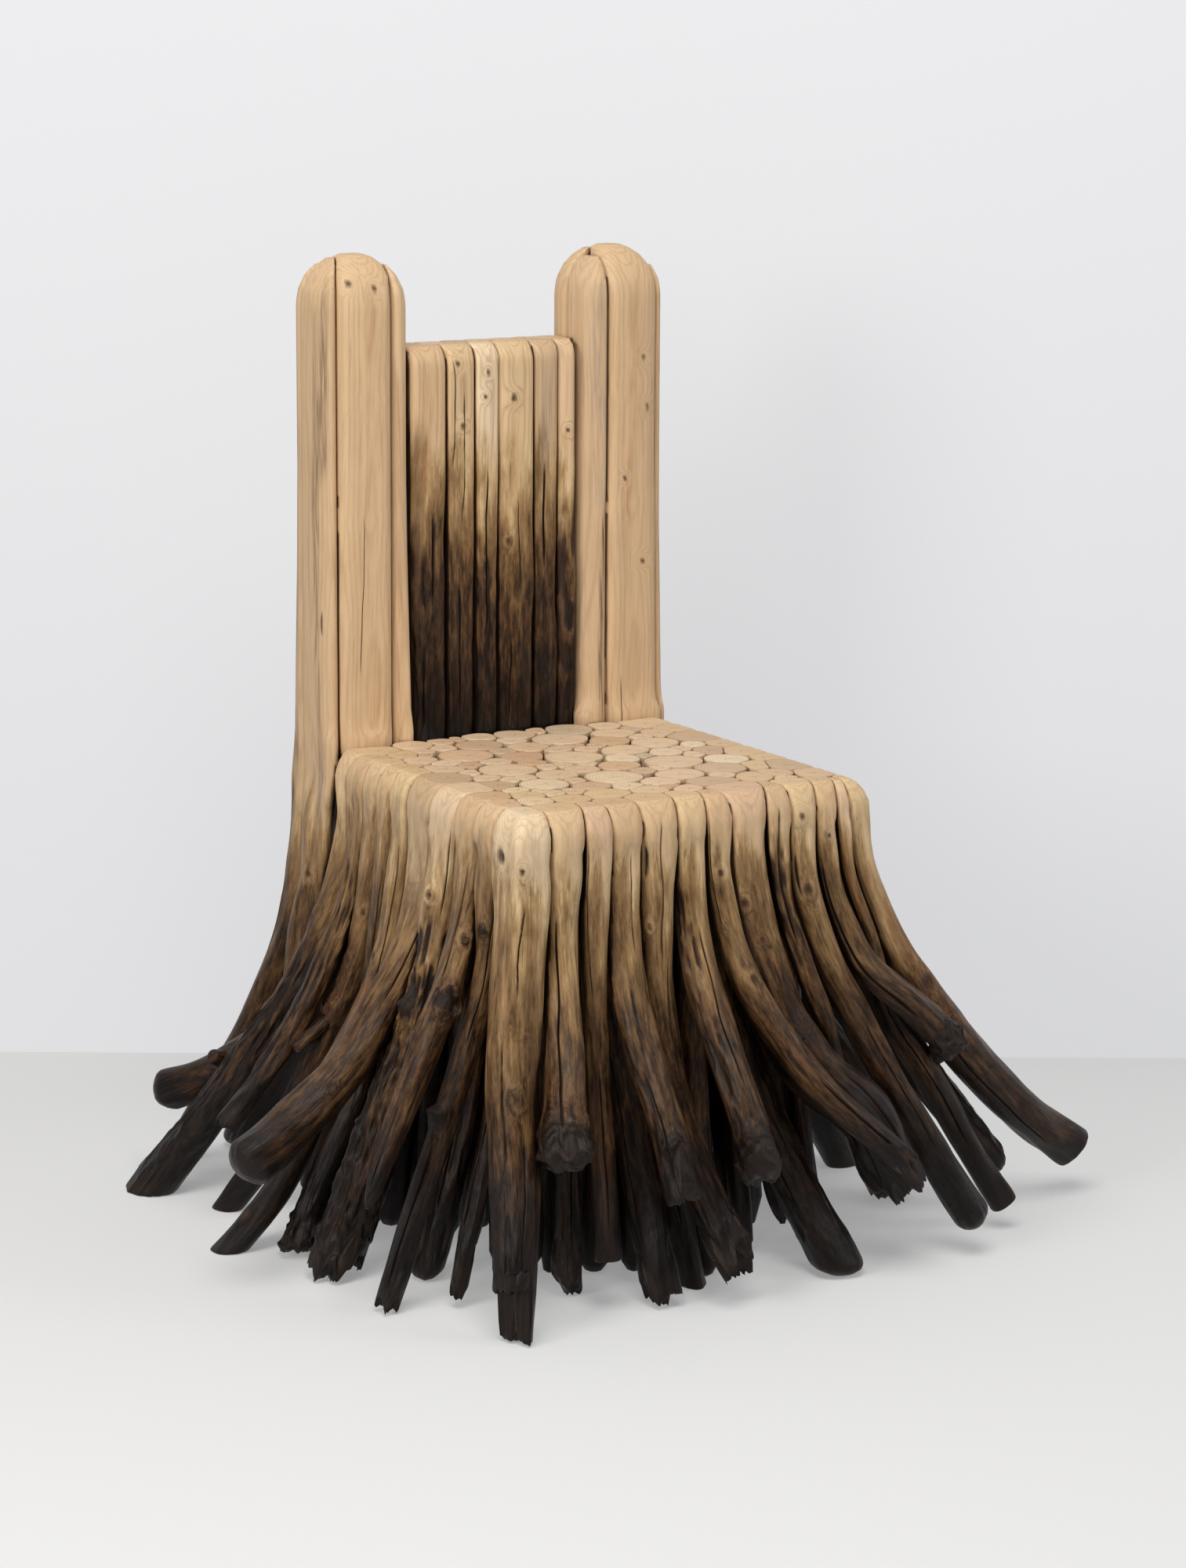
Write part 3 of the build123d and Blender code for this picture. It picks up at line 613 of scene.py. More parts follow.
    for _, spot, angle, long, size, lean in marked("twig"):
        angle, lean = math.radians(angle), math.radians(lean)
        spot, long, size = spot / 1000, long / 1000, size / 1000
        start, side, front = at(middle, spot), at(sides, spot), at(fronts, spot)
        out = side * math.cos(angle) + front * math.sin(angle)
        upright = np.cross(out, np.cross(side, front))
        way = out * math.cos(lean) - np.cross(side, front) * math.sin(lean)
        beside = np.cross(way, upright)
        beside, upright = beside / np.linalg.norm(beside), upright / np.linalg.norm(upright)
        wall_here = around_at(reaches, np.array([spot]), np.array([angle % TAU]))[0]
        whole = long + 0.8 * wall_here
        steps = np.concatenate([np.linspace(0, whole - 0.003, 14), [whole - 0.0015, whole - 0.0004, whole]])
        # how far out along the side twig each point lies, and which way it faces
        gone, toward = np.meshgrid(steps, TAU * np.arange(28) / 28, indexing="ij")
        bevel = np.interp(whole - gone, [0, 0.0004, 0.0015, 0.004], [0.3, 0.2, 0.08, 0])
        girth = size * (1.25 - 0.4 * gone / whole - bevel)
        rough = np.stack([np.cos(toward), np.sin(toward), gone / 0.02], -1)
        girth = girth + 0.0006 * noise(1.7 * rough, seed + 12)
        ring = (np.cos(toward) * girth)[..., None] * beside + (np.sin(toward) * girth)[..., None] * upright
        tube = start + gone[..., None] * way + ring
        none = 0 * gone
        sits = none + ease(bare[0] - start[2], 0, bare[1])
        # painted shade where the side twig meets its branch
        seam_shade = 0.7 * ease(wall_here + 0.006 - gone, 0, 0.008)
        twig_looks = {"grain": np.stack([np.cos(toward) * girth, np.sin(toward) * girth, gone + spot], -1),
                      "marks": np.stack([none, none, sits], -1), "stains": np.zeros(gone.shape + (3,)),
                      "lay": np.stack([seam_shade, none + 1, none], -1),
                      "cast": np.stack([none + tone, none + tint.min(), none], -1)}

        def twig_cap(row, share):
            """Ring across an end of the side twig, drawn in to a share of its size."""
            hub = tube[row].mean(0)
            return hub + (tube[row] - hub) * share

        made.append(closed(tube, twig_looks, girth, twig_cap))
    return made


def piece(name, skins, material):
    """One mesh object made of finished branches."""
    points, corners, start = [], [], 0
    for sheet, faces, _ in skins:
        points.append(sheet)
        # around the middle of an end two corners are the same point
        for a, b, c, d in (faces + start).tolist():
            corners.append((a, b, c) if c == d else (b, c, d) if a == b else (a, b, c, d))
        start += len(sheet)
    made = new_object(name, np.concatenate(points).tolist(), corners, material)
    for label in ("grain", "marks", "stains", "lay", "cast"):
        layer = made.data.attributes.new(label, "FLOAT_VECTOR", "POINT")
        values = np.concatenate([layers[label] for _, _, layers in skins])
        layer.data.foreach_set("vector", values.astype(np.float32).ravel())
    made.data.shade_smooth()
    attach(made, "root")
    return made


def group(name, inputs, outputs):
    """New shader node group with named sockets."""
    made = bpy.data.node_groups.new(name, "ShaderNodeTree")
    for label, kind in inputs:
        made.interface.new_socket(label, in_out="INPUT", socket_type="NodeSocket" + kind)
    for label, kind in outputs:
        made.interface.new_socket(label, in_out="OUTPUT", socket_type="NodeSocket" + kind)
    return made, made.nodes.new("NodeGroupInput").outputs, made.nodes.new("NodeGroupOutput")


def parts_of(vector):
    """The three numbers in a vector."""
    return add(vector.id_data, "ShaderNodeSeparateXYZ", {"Vector": vector}).outputs


def ramp(value, *stops):
    """Colour ramp through (place, colour) stops."""
    node = add(value.id_data, "ShaderNodeValToRGB", {0: value})
    points = node.color_ramp.elements
    while len(points) < len(stops):
        points.new(0.5)
    for point, (place, colour) in zip(points, stops):
        point.position = place
        point.color = (*colour, 1) if isinstance(colour, tuple) else (colour, colour, colour, 1)
    return node.outputs[0]


def scaled(vector, scale, shift=(0, 0, 0)):
    """Vector times a scale, plus a shift."""
    return add(vector.id_data, "ShaderNodeMapping", {"Vector": vector, "Scale": scale,
                                                     "Location": shift}).outputs[0]


def speckle(vector, detail, roughness):
    """Cloudy value around one half."""
    return add(vector.id_data, "ShaderNodeTexNoise", {"Vector": vector, "Scale": 1.0, "Detail": detail,
                                                      "Roughness": roughness}).outputs[0]


# growth rings around the pith, the fibres along them, and the cracks from the pith outwards
figure, given, result = group("wood_figure", [("Grain", "Vector"), ("Tone", "Float")],
                              [("Rings", "Float"), ("Fibres", "Float"), ("Clouds", "Float"),
                               ("Patches", "Float"), ("Mottle_And_Sheen", "Float"), ("Star", "Float")])
grain, tone = given["Grain"], given["Tone"]
flat = parts_of(grain)
drift = add(figure, "ShaderNodeTexNoise", {"Vector": scaled(grain, (0, 0, 3.5)), "Scale": 1.0,
                                           "Detail": 1.0})
shift = parts_of(drift.outputs[1])
pith_x = maths("MULTIPLY_ADD", maths("SUBTRACT", shift[0], 0.5), 0.018, flat[0])
pith_y = maths("MULTIPLY_ADD", maths("SUBTRACT", shift[1], 0.5), 0.018, flat[1])
radius = maths("SQRT", maths("ADD", maths("MULTIPLY", pith_x, pith_x), maths("MULTIPLY", pith_y, pith_y)))
wobble = speckle(scaled(grain, (55, 55, 7)), 2.0, 0.5)
pace = maths("MULTIPLY_ADD", tone, 900.0, 1700.0)
phase = maths("ADD", maths("MULTIPLY", radius, pace), maths("MULTIPLY", wobble, 5.0))
wave = maths("MULTIPLY_ADD", maths("SINE", phase), 0.5, 0.5)
uneven = speckle(scaled(grain, (130, 130, 5)), 2.0, 0.5)
coarse_fibres = speckle(scaled(grain, (420, 420, 13)), 4.0, 0.62)
fine_fibres = speckle(scaled(grain, (1500, 1500, 30)), 2.0, 0.5)
turns = maths("MULTIPLY_ADD", maths("ARCTAN2", pith_y, pith_x), 3 / TAU, maths("MULTIPLY", tone, 7.0))
turns = maths("ADD", turns, maths("MULTIPLY", wobble, 0.25))
aside = maths("ABSOLUTE", maths("SUBTRACT", maths("FRACT", turns), 0.5))
arc = maths("MULTIPLY", aside, maths("MULTIPLY", radius, TAU / 3))
star_line = ramp(maths("MULTIPLY", arc, 1000.0), (0.1, 1.0), (0.4, 0.0))
star_reach = ramp(maths("MULTIPLY", radius, 100.0), (0.55, 1.0), (0.95, 0.0))
feed(result, {
    "Rings": maths("MULTIPLY", maths("POWER", wave, 3.0), maths("MULTIPLY_ADD", uneven, 1.4, 0.1)),
    "Fibres": maths("MULTIPLY_ADD", fine_fibres, 0.35, maths("MULTIPLY", coarse_fibres, 0.65)),
    "Clouds": speckle(scaled(grain, (75, 75, 11)), 4.0, 0.6),
    "Patches": speckle(scaled(grain, (26, 26, 7), (3.1, 1.7, 0)), 5.0, 0.68),
    # a cloudy value for the mottled dark skin and its painted sheen
    "Mottle_And_Sheen": speckle(scaled(grain, (210, 210, 38), (0, 5.2, 1.3)), 4.0, 0.7),
    "Star": maths("MULTIPLY", star_line, star_reach)})

# how the wood darkens from the sanded top towards the feet, and the painted shade in the seams
ageing, given, result = group("ageing", [("Level", "Float"), ("Clouds", "Float"), ("Fibres", "Float"),
                                         ("Patches", "Float"), ("Shade", "Float"), ("Seam", "Float")],
                              [("Color", "Color"), ("Level", "Float")])
level = maths("ADD", given["Level"], given["Shade"])
for source, amount in (("Clouds", 0.6), ("Fibres", 0.4), ("Patches", 0.95)):
    level = maths("MULTIPLY_ADD", maths("SUBTRACT", given[source], 0.5), amount, level)
# painted shade: the crevice mask lowers the level, darkening the aged wood in seams and gaps
level = maths("MULTIPLY_ADD", given["Seam"], -0.44, level)
aged_colour = ramp(level, (0.0, (0.006, 0.003, 0.0018)), (0.18, (0.018, 0.0083, 0.004)),
                   (0.36, (0.038, 0.0178, 0.0074)), (0.5, (0.074, 0.036, 0.0142)),
                   (0.64, (0.15, 0.082, 0.032)), (0.78, (0.29, 0.173, 0.076)),
                   (0.9, (0.49, 0.33, 0.165)), (1.0, (0.67, 0.49, 0.28)))
feed(result, {"Color": aged_colour, "Level": level})

# stains in the grain, painted shade in the seams, knots, dry cracks and the dark line around each sawn top
blemishes, given, result = group("blemishes", [
    ("Color", "Color"), ("Stains", "Vector"), ("Marks", "Vector"), ("Lay", "Vector"), ("Rings", "Float"),
    ("Fibres", "Float"), ("Star", "Float"), ("Clean", "Float")], [("Color", "Color")])
grey, orange, streak = parts_of(given["Stains"])
split, knotty, _ = parts_of(given["Marks"])
crevice_shade_and_dark_end, inwards, capped = parts_of(given["Lay"])
threads = ramp(given["Fibres"], (0.4, 0.15), (0.62, 1.0))
colour = given["Color"]
for stain, strength, stained in ((grey, 0.5, (0.27, 0.22, 0.18)), (orange, 0.42, (0.42, 0.19, 0.075)),
                                 (streak, 0.85, (0.075, 0.04, 0.024))):
    colour = blend(maths("MULTIPLY", maths("MULTIPLY", stain, threads), strength), colour, stained)
# painted shade in seams and gaps: dark brown on the sanded wood, near black where the crevice mask is
# strongest
seam_shade = maths("MULTIPLY", ramp(crevice_shade_and_dark_end, (0.3, 0.0), (1.0, 0.75)), given["Clean"])
colour = blend(seam_shade, colour, (0.11, 0.055, 0.027))
colour = blend(ramp(crevice_shade_and_dark_end, (0.55, 0.0), (1.0, 0.75)), colour, (0.022, 0.012, 0.007))
colour = blend(ramp(inwards, (0.0, 0.5), (0.05, 0.0)), colour, (0.12, 0.06, 0.03))
knot = maths("MULTIPLY", knotty, maths("MULTIPLY_ADD", given["Rings"], -0.4, 1.0))
colour = blend(ramp(knot, (0.08, 0.0), (0.45, 0.55), (0.9, 0.95)), colour, (0.052, 0.024, 0.013))
on_end = maths("MULTIPLY", maths("GREATER_THAN", capped, 0.95), 0.7)
colour = blend(maths("MULTIPLY", given["Star"], on_end), colour, (0.06, 0.03, 0.016))
colour = blend(split, colour, (0.014, 0.009, 0.007))
feed(result, {"Color": colour})

WARM = ((0.0, (0.53, 0.385, 0.24)), (0.3, (0.62, 0.42, 0.245)), (0.55, (0.68, 0.495, 0.28)),
        (0.8, (0.65, 0.44, 0.285)), (1.0, (0.80, 0.64, 0.42)))


def wood(name, low=0.02, high=0.45, tones=WARM, streaks=0.42):
    """Wood that is sanded above one height and darkens down to another, in metres.

    Tones are the sanded wood's colours, and streaks is the strength of its rings.
    """
    made = bpy.data.materials.new(name)
    made.use_nodes = True
    tree = made.node_tree

    def read(label):
        return add(tree, "ShaderNodeAttribute", attribute_name=label).outputs["Vector"]

    lay, marks = read("lay"), read("marks")
    tone, shade, _ = parts_of(read("cast"))
    height = parts_of(add(tree, "ShaderNodeTexCoord").outputs["Object"])[2]
    look = add(tree, "ShaderNodeGroup", {"Grain": read("grain"), "Tone": tone}, node_tree=figure).outputs
    rings, fibres, clouds, patches = (look[label] for label in ("Rings", "Fibres", "Clouds", "Patches"))
    rise = maths("MINIMUM", maths("DIVIDE", maths("SUBTRACT", height, low), high - low), 1.1)
    aged = add(tree, "ShaderNodeGroup", {
        "Level": rise, "Clouds": clouds, "Fibres": fibres, "Patches": patches, "Shade": shade,
        "Seam": parts_of(lay)[0]}, node_tree=ageing).outputs
    sanded = ramp(tone, *tones)
    sanded = blend(maths("MULTIPLY", rings, streaks), sanded, (0.27, 0.145, 0.065))
    sanded = blend(ramp(patches, (0.42, 0.0), (0.72, 0.4)), sanded, (0.42, 0.26, 0.145))
    sanded = blend(ramp(fibres, (0.5, 0.0), (0.68, 0.4)), sanded, (0.33, 0.19, 0.095))
    uneven_rise = maths("MULTIPLY_ADD", maths("SUBTRACT", aged["Level"], rise), 0.35, rise)
    clean = ramp(uneven_rise, (0.87, 0.0), (1.0, 1.0))
    # mottled colour on the dark natural skin, partly a painted sheen: its brightest patches double the
    # colour as painted highlights
    mottle_and_sheen = ramp(look["Mottle_And_Sheen"], (0.36, 0.2), (0.5, 0.95), (0.63, (1.9, 1.95, 2.05)))
    dark = ramp(aged["Level"], (0.45, 1.0), (0.75, 0.12))
    colour = blend(clean, blend(dark, aged["Color"], mottle_and_sheen, "MULTIPLY"), sanded)
    faulty = add(tree, "ShaderNodeGroup", {
        "Color": colour, "Stains": read("stains"), "Marks": marks, "Lay": lay, "Rings": rings,
        "Fibres": fibres, "Star": look["Star"], "Clean": clean}, node_tree=blemishes)
    gloss = maths("MULTIPLY", maths("SUBTRACT", 1.0, clean), -0.14)
    rough = maths("ADD", maths("MULTIPLY", fibres, 0.3), maths("MULTIPLY_ADD", clouds, 0.25, 0.24))
    relief = maths("ADD", maths("MULTIPLY", fibres, 0.8), maths("MULTIPLY", clouds, 0.5))
    relief = maths("MULTIPLY", relief, maths("MULTIPLY_ADD", parts_of(marks)[2], 0.8, 0.2))
    bump = add(tree, "ShaderNodeBump", {"Height": relief, "Strength": 0.6, "Distance": 0.0022})
    feed(tree.nodes["Principled BSDF"], {
        "Base Color": faulty.outputs[0], "Roughness": maths("ADD", rough, gloss),
        "Normal": bump.outputs[0], "Specular IOR Level": 0.2})
    return made


peeled_wood = wood("peeled_wood", streaks=0.28)

FRONT_EDGE = {
    "front_branch_1": dict(end="swollen", shade=0.05, tone=0.62, marks=[
        ("check", 95, 325, 231, 2.4, 6), ("check", 20, 170, 300, 1.4, 3),
        ("wrinkles", 272, 325, 245, 85, 1.0), ("bark", 300, 346, 240, 200, 0.8)]),
    "front_branch_2": dict(end="sawn", tone=0.8, marks=[
        ("check", 30, 190, 224, 1.5, 4), ("streak", 120, 420, 236, 8), ("check", 240, 400, 250, 1.6, 4)]),
    "front_branch_3": dict(end="broken", shade=-0.03, tone=0.25, marks=[
        ("streak", 60, 190, 205, 16), ("check", 170, 226, 248, 5, 2.6), ("burl", 332, 246, 11, 7),
        ("check", 40, 150, 281, 1.3, 3), ("check", 260, 380, 225, 2, 4),
        ("bark", 200, 380, 205, 40, 0.4)]),
    "front_branch_4": dict(end="broken", shade=-0.02, tone=0.4, marks=[
        ("check", 38, 76, 229, 5.5, 4), ("check", 12, 165, 268, 1.8, 5),
        ("check", 150, 450, 292, 3.6, 9), ("wrinkles", 258, 284, 262, 70, 0.8),
        ("knot", 120, 236, 4, 1.2), ("bark", 380, 468, 260, 200, 0.45)]),
    "front_branch_5": dict(end="swollen", shade=-0.04, tone=0.5, marks=[
        ("bark", 80, 345, 208, 42, 0.8), ("streak", 55, 340, 203, 16), ("burl", 352, 252, 14, 9),
        ("check", 120, 300, 262, 1.6, 4), ("bark", 320, 380, 255, 200, 0.7)]),
    "front_branch_6": dict(end="broken", shade=-0.03, tone=0.3, marks=[
        ("knot", 77, 262, 5, 2), ("knot", 187, 280, 6, 1.6), ("check", 290, 425, 268, 3, 5),
        ("check", 15, 140, 226, 1.3, 3), ("knot", 130, 235, 3, 1)]),
    "front_branch_7": dict(end="broken", shade=-0.15, tone=0.78, marks=[
        ("knot", 107, 236, 7, 3), ("knot", 146, 258, 4, 2), ("wrinkles", 238, 262, 262, 75, 1.2),
        ("bark", 262, 345, 250, 60, 0.5), ("bark", 330, 450, 262, 200, 0.45),
        ("check", 180, 300, 228, 1.8, 4), ("streak", 40, 180, 206, 22), ("check", 300, 440, 285, 2.4, 6)]),
    "front_branch_8": dict(end="worn", shade=-0.1, tone=0.2, marks=[
        ("check", 15, 170, 258, 3.4, 6), ("bark", 40, 200, 262, 60, 0.4)]),
    "front_branch_9": dict(end="worn", shade=-0.09, tone=0.55, marks=[
        ("knot", 30, 256, 4.5, 2), ("knot", 103, 256, 8, 2.4), ("check", 60, 116, 240, 3.2, 5),
        ("streak", 120, 240, 205, 12), ("wrinkles", 436, 470, 255, 90, 0.7),
        ("check", 240, 400, 262, 1.8, 4)]),
    "front_branch_10": dict(end="swollen", shade=-0.1, tone=0.35, marks=[
        ("check", 70, 275, 224, 3, 6), ("knot", 52, 262, 3.5, 1), ("bark", 285, 335, 270, 200, 1.0)]),
    "front_branch_11": dict(end="sawn", shade=-0.06, tone=0.85, marks=[
        ("orange", 20, 160, 250, 10), ("check", 200, 420, 250, 1.6, 4)]),
}
for number, (node, looks) in enumerate(FRONT_EDGE.items()):
    (tree, points), = branches_of(node)
    made = piece(node + "_wood", skin(tree, points, 10 + number, **looks), peeled_wood)
    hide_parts(node)

# ---- branches of the left edge and the two front corners ------------------------------
# The same peeled branches, one behind the other.  The corner ones stand alone and show
# three sides; the left one ends in a step and the right one is cut aslant.
LEFT_EDGE_AND_CORNERS = {
    "left_corner_branch": dict(end=("stepped", 205, 46), tone=0.97, shade=(
        (0, 0), (77, 0.02), (147, 0.01), (217, 0.13), (300, 0.14), (370, -0.03), (480, 0.02)), marks=[
        ("knot", 43, 172, 9, 3), ("orange", 24, 70, 186, 16), ("knot", 53, 244, 4, 1.0),
        ("check", 77, 182, 243, 1.7, 5), ("check", 205, 345, 217, 1.8, 5),
        ("wrinkles", 196, 216, 236, 75, 0.8), ("knot", 272, 250, 6, 1.8),
        ("check", 300, 470, 262, 1.6, 4), ("streak", 120, 300, 282, 12),
        ("bark", 330, 492, 190, 60, 0.35)]),
    "left_branch_9": dict(end="broken", shade=-0.08, tone=0.7, marks=[
        ("burl", 120, 205, 6, 5), ("burl", 302, 190, 10, 9), ("check", 60, 240, 236, 1.6, 4),
        ("check", 320, 480, 215, 2, 4)]),
    "left_branch_8": dict(end="pointed", shade=-0.08, tone=0.3, marks=[
        ("knot", 140, 240, 5, 2.5), ("twig", 140, 246, 9, 4, 10), ("burl", 205, 258, 13, 11),
        ("bark", 182, 232, 262, 60, 1.2), ("check", 60, 200, 205, 1.8, 4),
        ("wrinkles", 285, 298, 205, 60, -1.2), ("check", 300, 395, 220, 2.2, 4)]),
    "left_branch_7": dict(end="broken", shade=0.0, tone=0.9, marks=[
        ("knot", 106, 186, 5.5, 3.5), ("bark", 125, 492, 205, 200, 1.5), ("burl", 216, 180, 11, 6),
        ("check", 30, 130, 222, 1.5, 4)]),
    "left_branch_6": dict(end="worn", shade=0.0, tone=0.1, marks=[
        ("wrinkles", 103, 109, 190, 26, -2.6), ("grey", 15, 150, 205, 40),
        ("check", 30, 230, 232, 1.5, 4), ("knot", 330, 250, 4, 1.2), ("bark", 415, 448, 230, 200, 0.4)]),
    "left_branch_5": dict(end="sawn", shade=0.06, tone=0.55, marks=[
        ("knot", 187, 172, 6, 2.6), ("knot", 470, 185, 6, 2), ("check", 60, 260, 214, 1.4, 3),
        ("orange", 190, 330, 190, 12)]),
    "left_branch_4": dict(end="swollen", shade=-0.08, tone=0.4, marks=[
        ("knot", 230, 190, 6, 2.4), ("bark", 400, 495, 215, 200, 1.0), ("check", 90, 300, 208, 1.5, 4)]),
    "left_branch_3": dict(end="sawn", tone=0.65, marks=[
        ("orange", 120, 300, 190, 14), ("knot", 205, 186, 6, 2.6), ("knot", 150, 215, 4, 1.6),
        ("twig", 262, 196, 46, 7, 50), ("bark", 170, 420, 170, 60, 0.5), ("knot", 262, 196, 9, 2.5)]),
    "left_branch_2": dict(end="broken", shade=-0.03, tone=0.25, marks=[
        ("bark", 90, 408, 200, 120, 0.5), ("check", 100, 320, 188, 1.8, 4), ("knot", 300, 205, 6, 2.5)]),
    "left_branch_1": dict(end="sawn", shade=-0.03, tone=0.6, marks=[
        ("knot", 182, 170, 8, 2.6), ("streak", 90, 240, 160, 18), ("bark", 200, 560, 185, 130, 0.75),
        ("check", 210, 420, 176, 2, 5), ("wrinkles", 500, 520, 185, 70, -0.9)]),
    "right_corner_branch": dict(end=("aslant", 250, 0.25), shade=0.06, tone=0.5, marks=[
        ("orange", 60, 330, 262, 26), ("knot", 237, 286, 13, 2.8), ("knot", 292, 280, 5, 2.2),
        ("check", 280, 500, 240, 1.8, 4), ("wrinkles", 360, 372, 250, 70, 0.7)]),
}
for number, (node, looks) in enumerate(LEFT_EDGE_AND_CORNERS.items()):
    (tree, points), = branches_of(node)
    made = piece(node + "_wood", skin(tree, points, 40 + number, **looks), peeled_wood)
    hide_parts(node)

# ---- branches of the right edge -------------------------------------------------------
# Eight more peeled branches, set like those of the left edge.  Their ends are sawn, worn,
# broken and swollen in turn.
for number in range(1, 9):
    node = f"right_branch_{number}"
    crack = ("check", 70 + 30 * (number % 3), 300 + 40 * (number % 4), 20 - 13 * (number % 4), 2.4, 5)
    marks = (crack, ("check", 220, 440, 330 + 20 * (number % 3), 1.8, 4),
             ("knot", 90 + 37 * (number % 5), 350 + 14 * (number % 3), 4 + number % 4, 2),
             ("bark", 160 + 30 * (number % 3), 520, 0, 130, 0.3 + 0.25 * (number % 3)))
    (tree, points), = branches_of(node)
    end = ("sawn", "worn", "broken", "swollen")[number % 4]
    made = piece(node + "_wood", skin(tree, points, 70 + number, marks, end, 0.03 * (number % 3) - 0.03),
                 peeled_wood)
    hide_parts(node)

# ---- the two posts --------------------------------------------------------------------
# Five branches each, pressed together, sanded flat on the sides and domed on top.  Below
# the seat they part and run on to the floor in their natural skin.
POSTS = {
    "left_post_outer": dict(tone=0.3, marks=[
        ("streak", 12, 235, 247, 9), ("streak", 110, 300, 234, 6), ("streak", 40, 420, 218, 5),
        ("check", 343, 374, 240, 2, 2), ("streak", 380, 620, 233, 5), ("grey", 480, 560, 240, 12),
        ("knot", 610, 215, 6, 2), ("twig", 852, 191, 20, 9, 5), ("knot", 852, 191, 12, 2)]),
    "left_post_front": dict(tone=0.42, marks=[
        ("knot", 30, 222, 4, 0.3), ("knot", 36, 284, 4, 0.3), ("orange", 20, 130, 262, 6),
        ("check", 250, 420, 246, 0.8, 1.5), ("orange", 380, 700, 284, 8), ("streak", 600, 800, 226, 4)]),
    "left_post_inner": dict(tone=0.75, marks=[("orange", 80, 500, 250, 8)]),
    "left_post_rear_outer": dict(tone=0.2, marks=[
        ("streak", 300, 700, 165, 14), ("check", 505, 720, 162, 2.2, 5), ("grey", 100, 400, 180, 14)]),
    "left_post_rear_inner": dict(tone=0.6, marks=[
        ("check", 300, 600, 90, 1.6, 4), ("knot", 220, 95, 5, 0.4)]),
    "right_post_inner": dict(tone=0.1, marks=[
        ("grey", 8, 270, 285, 18), ("streak", 230, 520, 292, 5), ("orange", 380, 600, 236, 10)]),
    "right_post_front": dict(tone=0.4, marks=[
        ("knot", 117, 300, 3.6, 0.3), ("knot", 167, 310, 3.6, 0.3), ("knot", 237, 250, 2.6, 0.2),
        ("knot", 322, 300, 3.6, 0.3), ("orange", 40, 330, 264, 9), ("check", 430, 560, 240, 0.8, 1.5)]),
    "right_post_outer": dict(tone=0.7, marks=[("check", 200, 520, 0, 1.6, 4), ("knot", 400, 350, 5, 0.4)]),
    "right_post_rear_inner": dict(tone=0.3, marks=[
        ("check", 150, 500, 95, 1.8, 4), ("grey", 40, 300, 80, 16)]),
    "right_post_rear_outer": dict(tone=0.55, marks=[
        ("knot", 300, 80, 6, 0.5), ("streak", 350, 700, 100, 10)]),
}
post_wood = wood("post_wood", streaks=0.26, tones=(
    (0.0, (0.60, 0.42, 0.255)), (0.4, (0.66, 0.455, 0.265)), (0.7, (0.70, 0.49, 0.29)),
    (1.0, (0.72, 0.52, 0.32))))
for number, (node, looks) in enumerate(POSTS.items()):
    (tree, points), = branches_of(node)
    made = piece(node + "_wood", skin(tree, points, 90 + number, spacing=0.0045, columns=96, **looks),
                 post_wood)
    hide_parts(node)

# ---- the back panel -------------------------------------------------------------------
# Six front branches whose tops bend back, with thin twigs and a rear row behind them.  Only
# their tops are sanded; further down they keep more and more of their natural skin.
panel_wood = wood("panel_wood", 0.44, 0.77)
PANEL_BARE = (0.77, 0.14)       # the height where its natural skin starts, and its run-in
PANEL = {
    "back_branch_1": dict(tone=0.35, shade=-0.06, marks=[
        ("orange", 8, 170, 250, 16), ("check", 160, 268, 284, 5, 7), ("streak", 60, 300, 225, 8),
        ("check", 300, 390, 245, 2, 4), ("bark", 190, 400, 215, 50, 0.5)]),
    "back_branch_2": dict(tone=0.45, marks=[
        ("check", 8, 130, 235, 1.3, 3), ("check", 40, 190, 278, 1.3, 3), ("knot", 20, 250, 3.5, 0.8),
        ("knot", 82, 272, 4, 1), ("check", 230, 380, 255, 2.4, 4)]),
    "back_branch_3": dict(tone=0.95, shade=0.05, marks=[
        ("knot", 30, 268, 3, 1), ("knot", 54, 255, 3, 1), ("check", 120, 300, 262, 2, 4),
        ("bark", 180, 400, 240, 70, 0.5)]),
    "back_branch_4": dict(tone=0.5, shade=0.05, marks=[
        ("knot", 57, 252, 5, 0.6), ("orange", 40, 190, 252, 12), ("knot", 200, 232, 4, 1.4),
        ("check", 150, 260, 275, 1.4, 3), ("check", 290, 390, 240, 1.8, 4)]),
    "back_branch_5": dict(tone=0.15, marks=[
        ("grey", 15, 150, 256, 12), ("check", 118, 236, 253, 2.8, 5), ("streak", 60, 200, 235, 6),
        ("bark", 260, 400, 245, 70, 0.4)]),
    "back_branch_6": dict(tone=0.7, shade=0.07, marks=[
        ("streak", 150, 400, 245, 9), ("knot", 92, 264, 3.4, 1), ("bark", 150, 400, 240, 80, 0.6)]),
}
for number, (node, looks) in enumerate(PANEL.items()):
    (tree, points), = branches_of(node)
    made = piece(node + "_wood", skin(tree, points, 110 + number, lumps=1.5, spacing=0.0038,
                                      bare=PANEL_BARE, **looks), panel_wood)
    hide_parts(node)
for node in ("back_middle_twigs", "back_rear_branches"):
    skins = []
    for number, (tree, points) in enumerate(branches_of(node)):
        crack = ("check", 30 + 25 * (number % 4), 330 + 40 * (number % 3), 70 + 11 * (number % 5), 2.2, 5)
        knot = ("knot", 60 + 47 * (number % 7), 84 + 9 * (number % 4), 3.5 + number % 3, 1.2)
        end = ("worn", "broken", "sawn")[number % 3]
        skins += skin(tree, points, 120 + number, (crack, knot), end, spacing=0.005, columns=64,
                      bare=PANEL_BARE)
    made = piece(node + "_wood", skins, panel_wood)
    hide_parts(node)

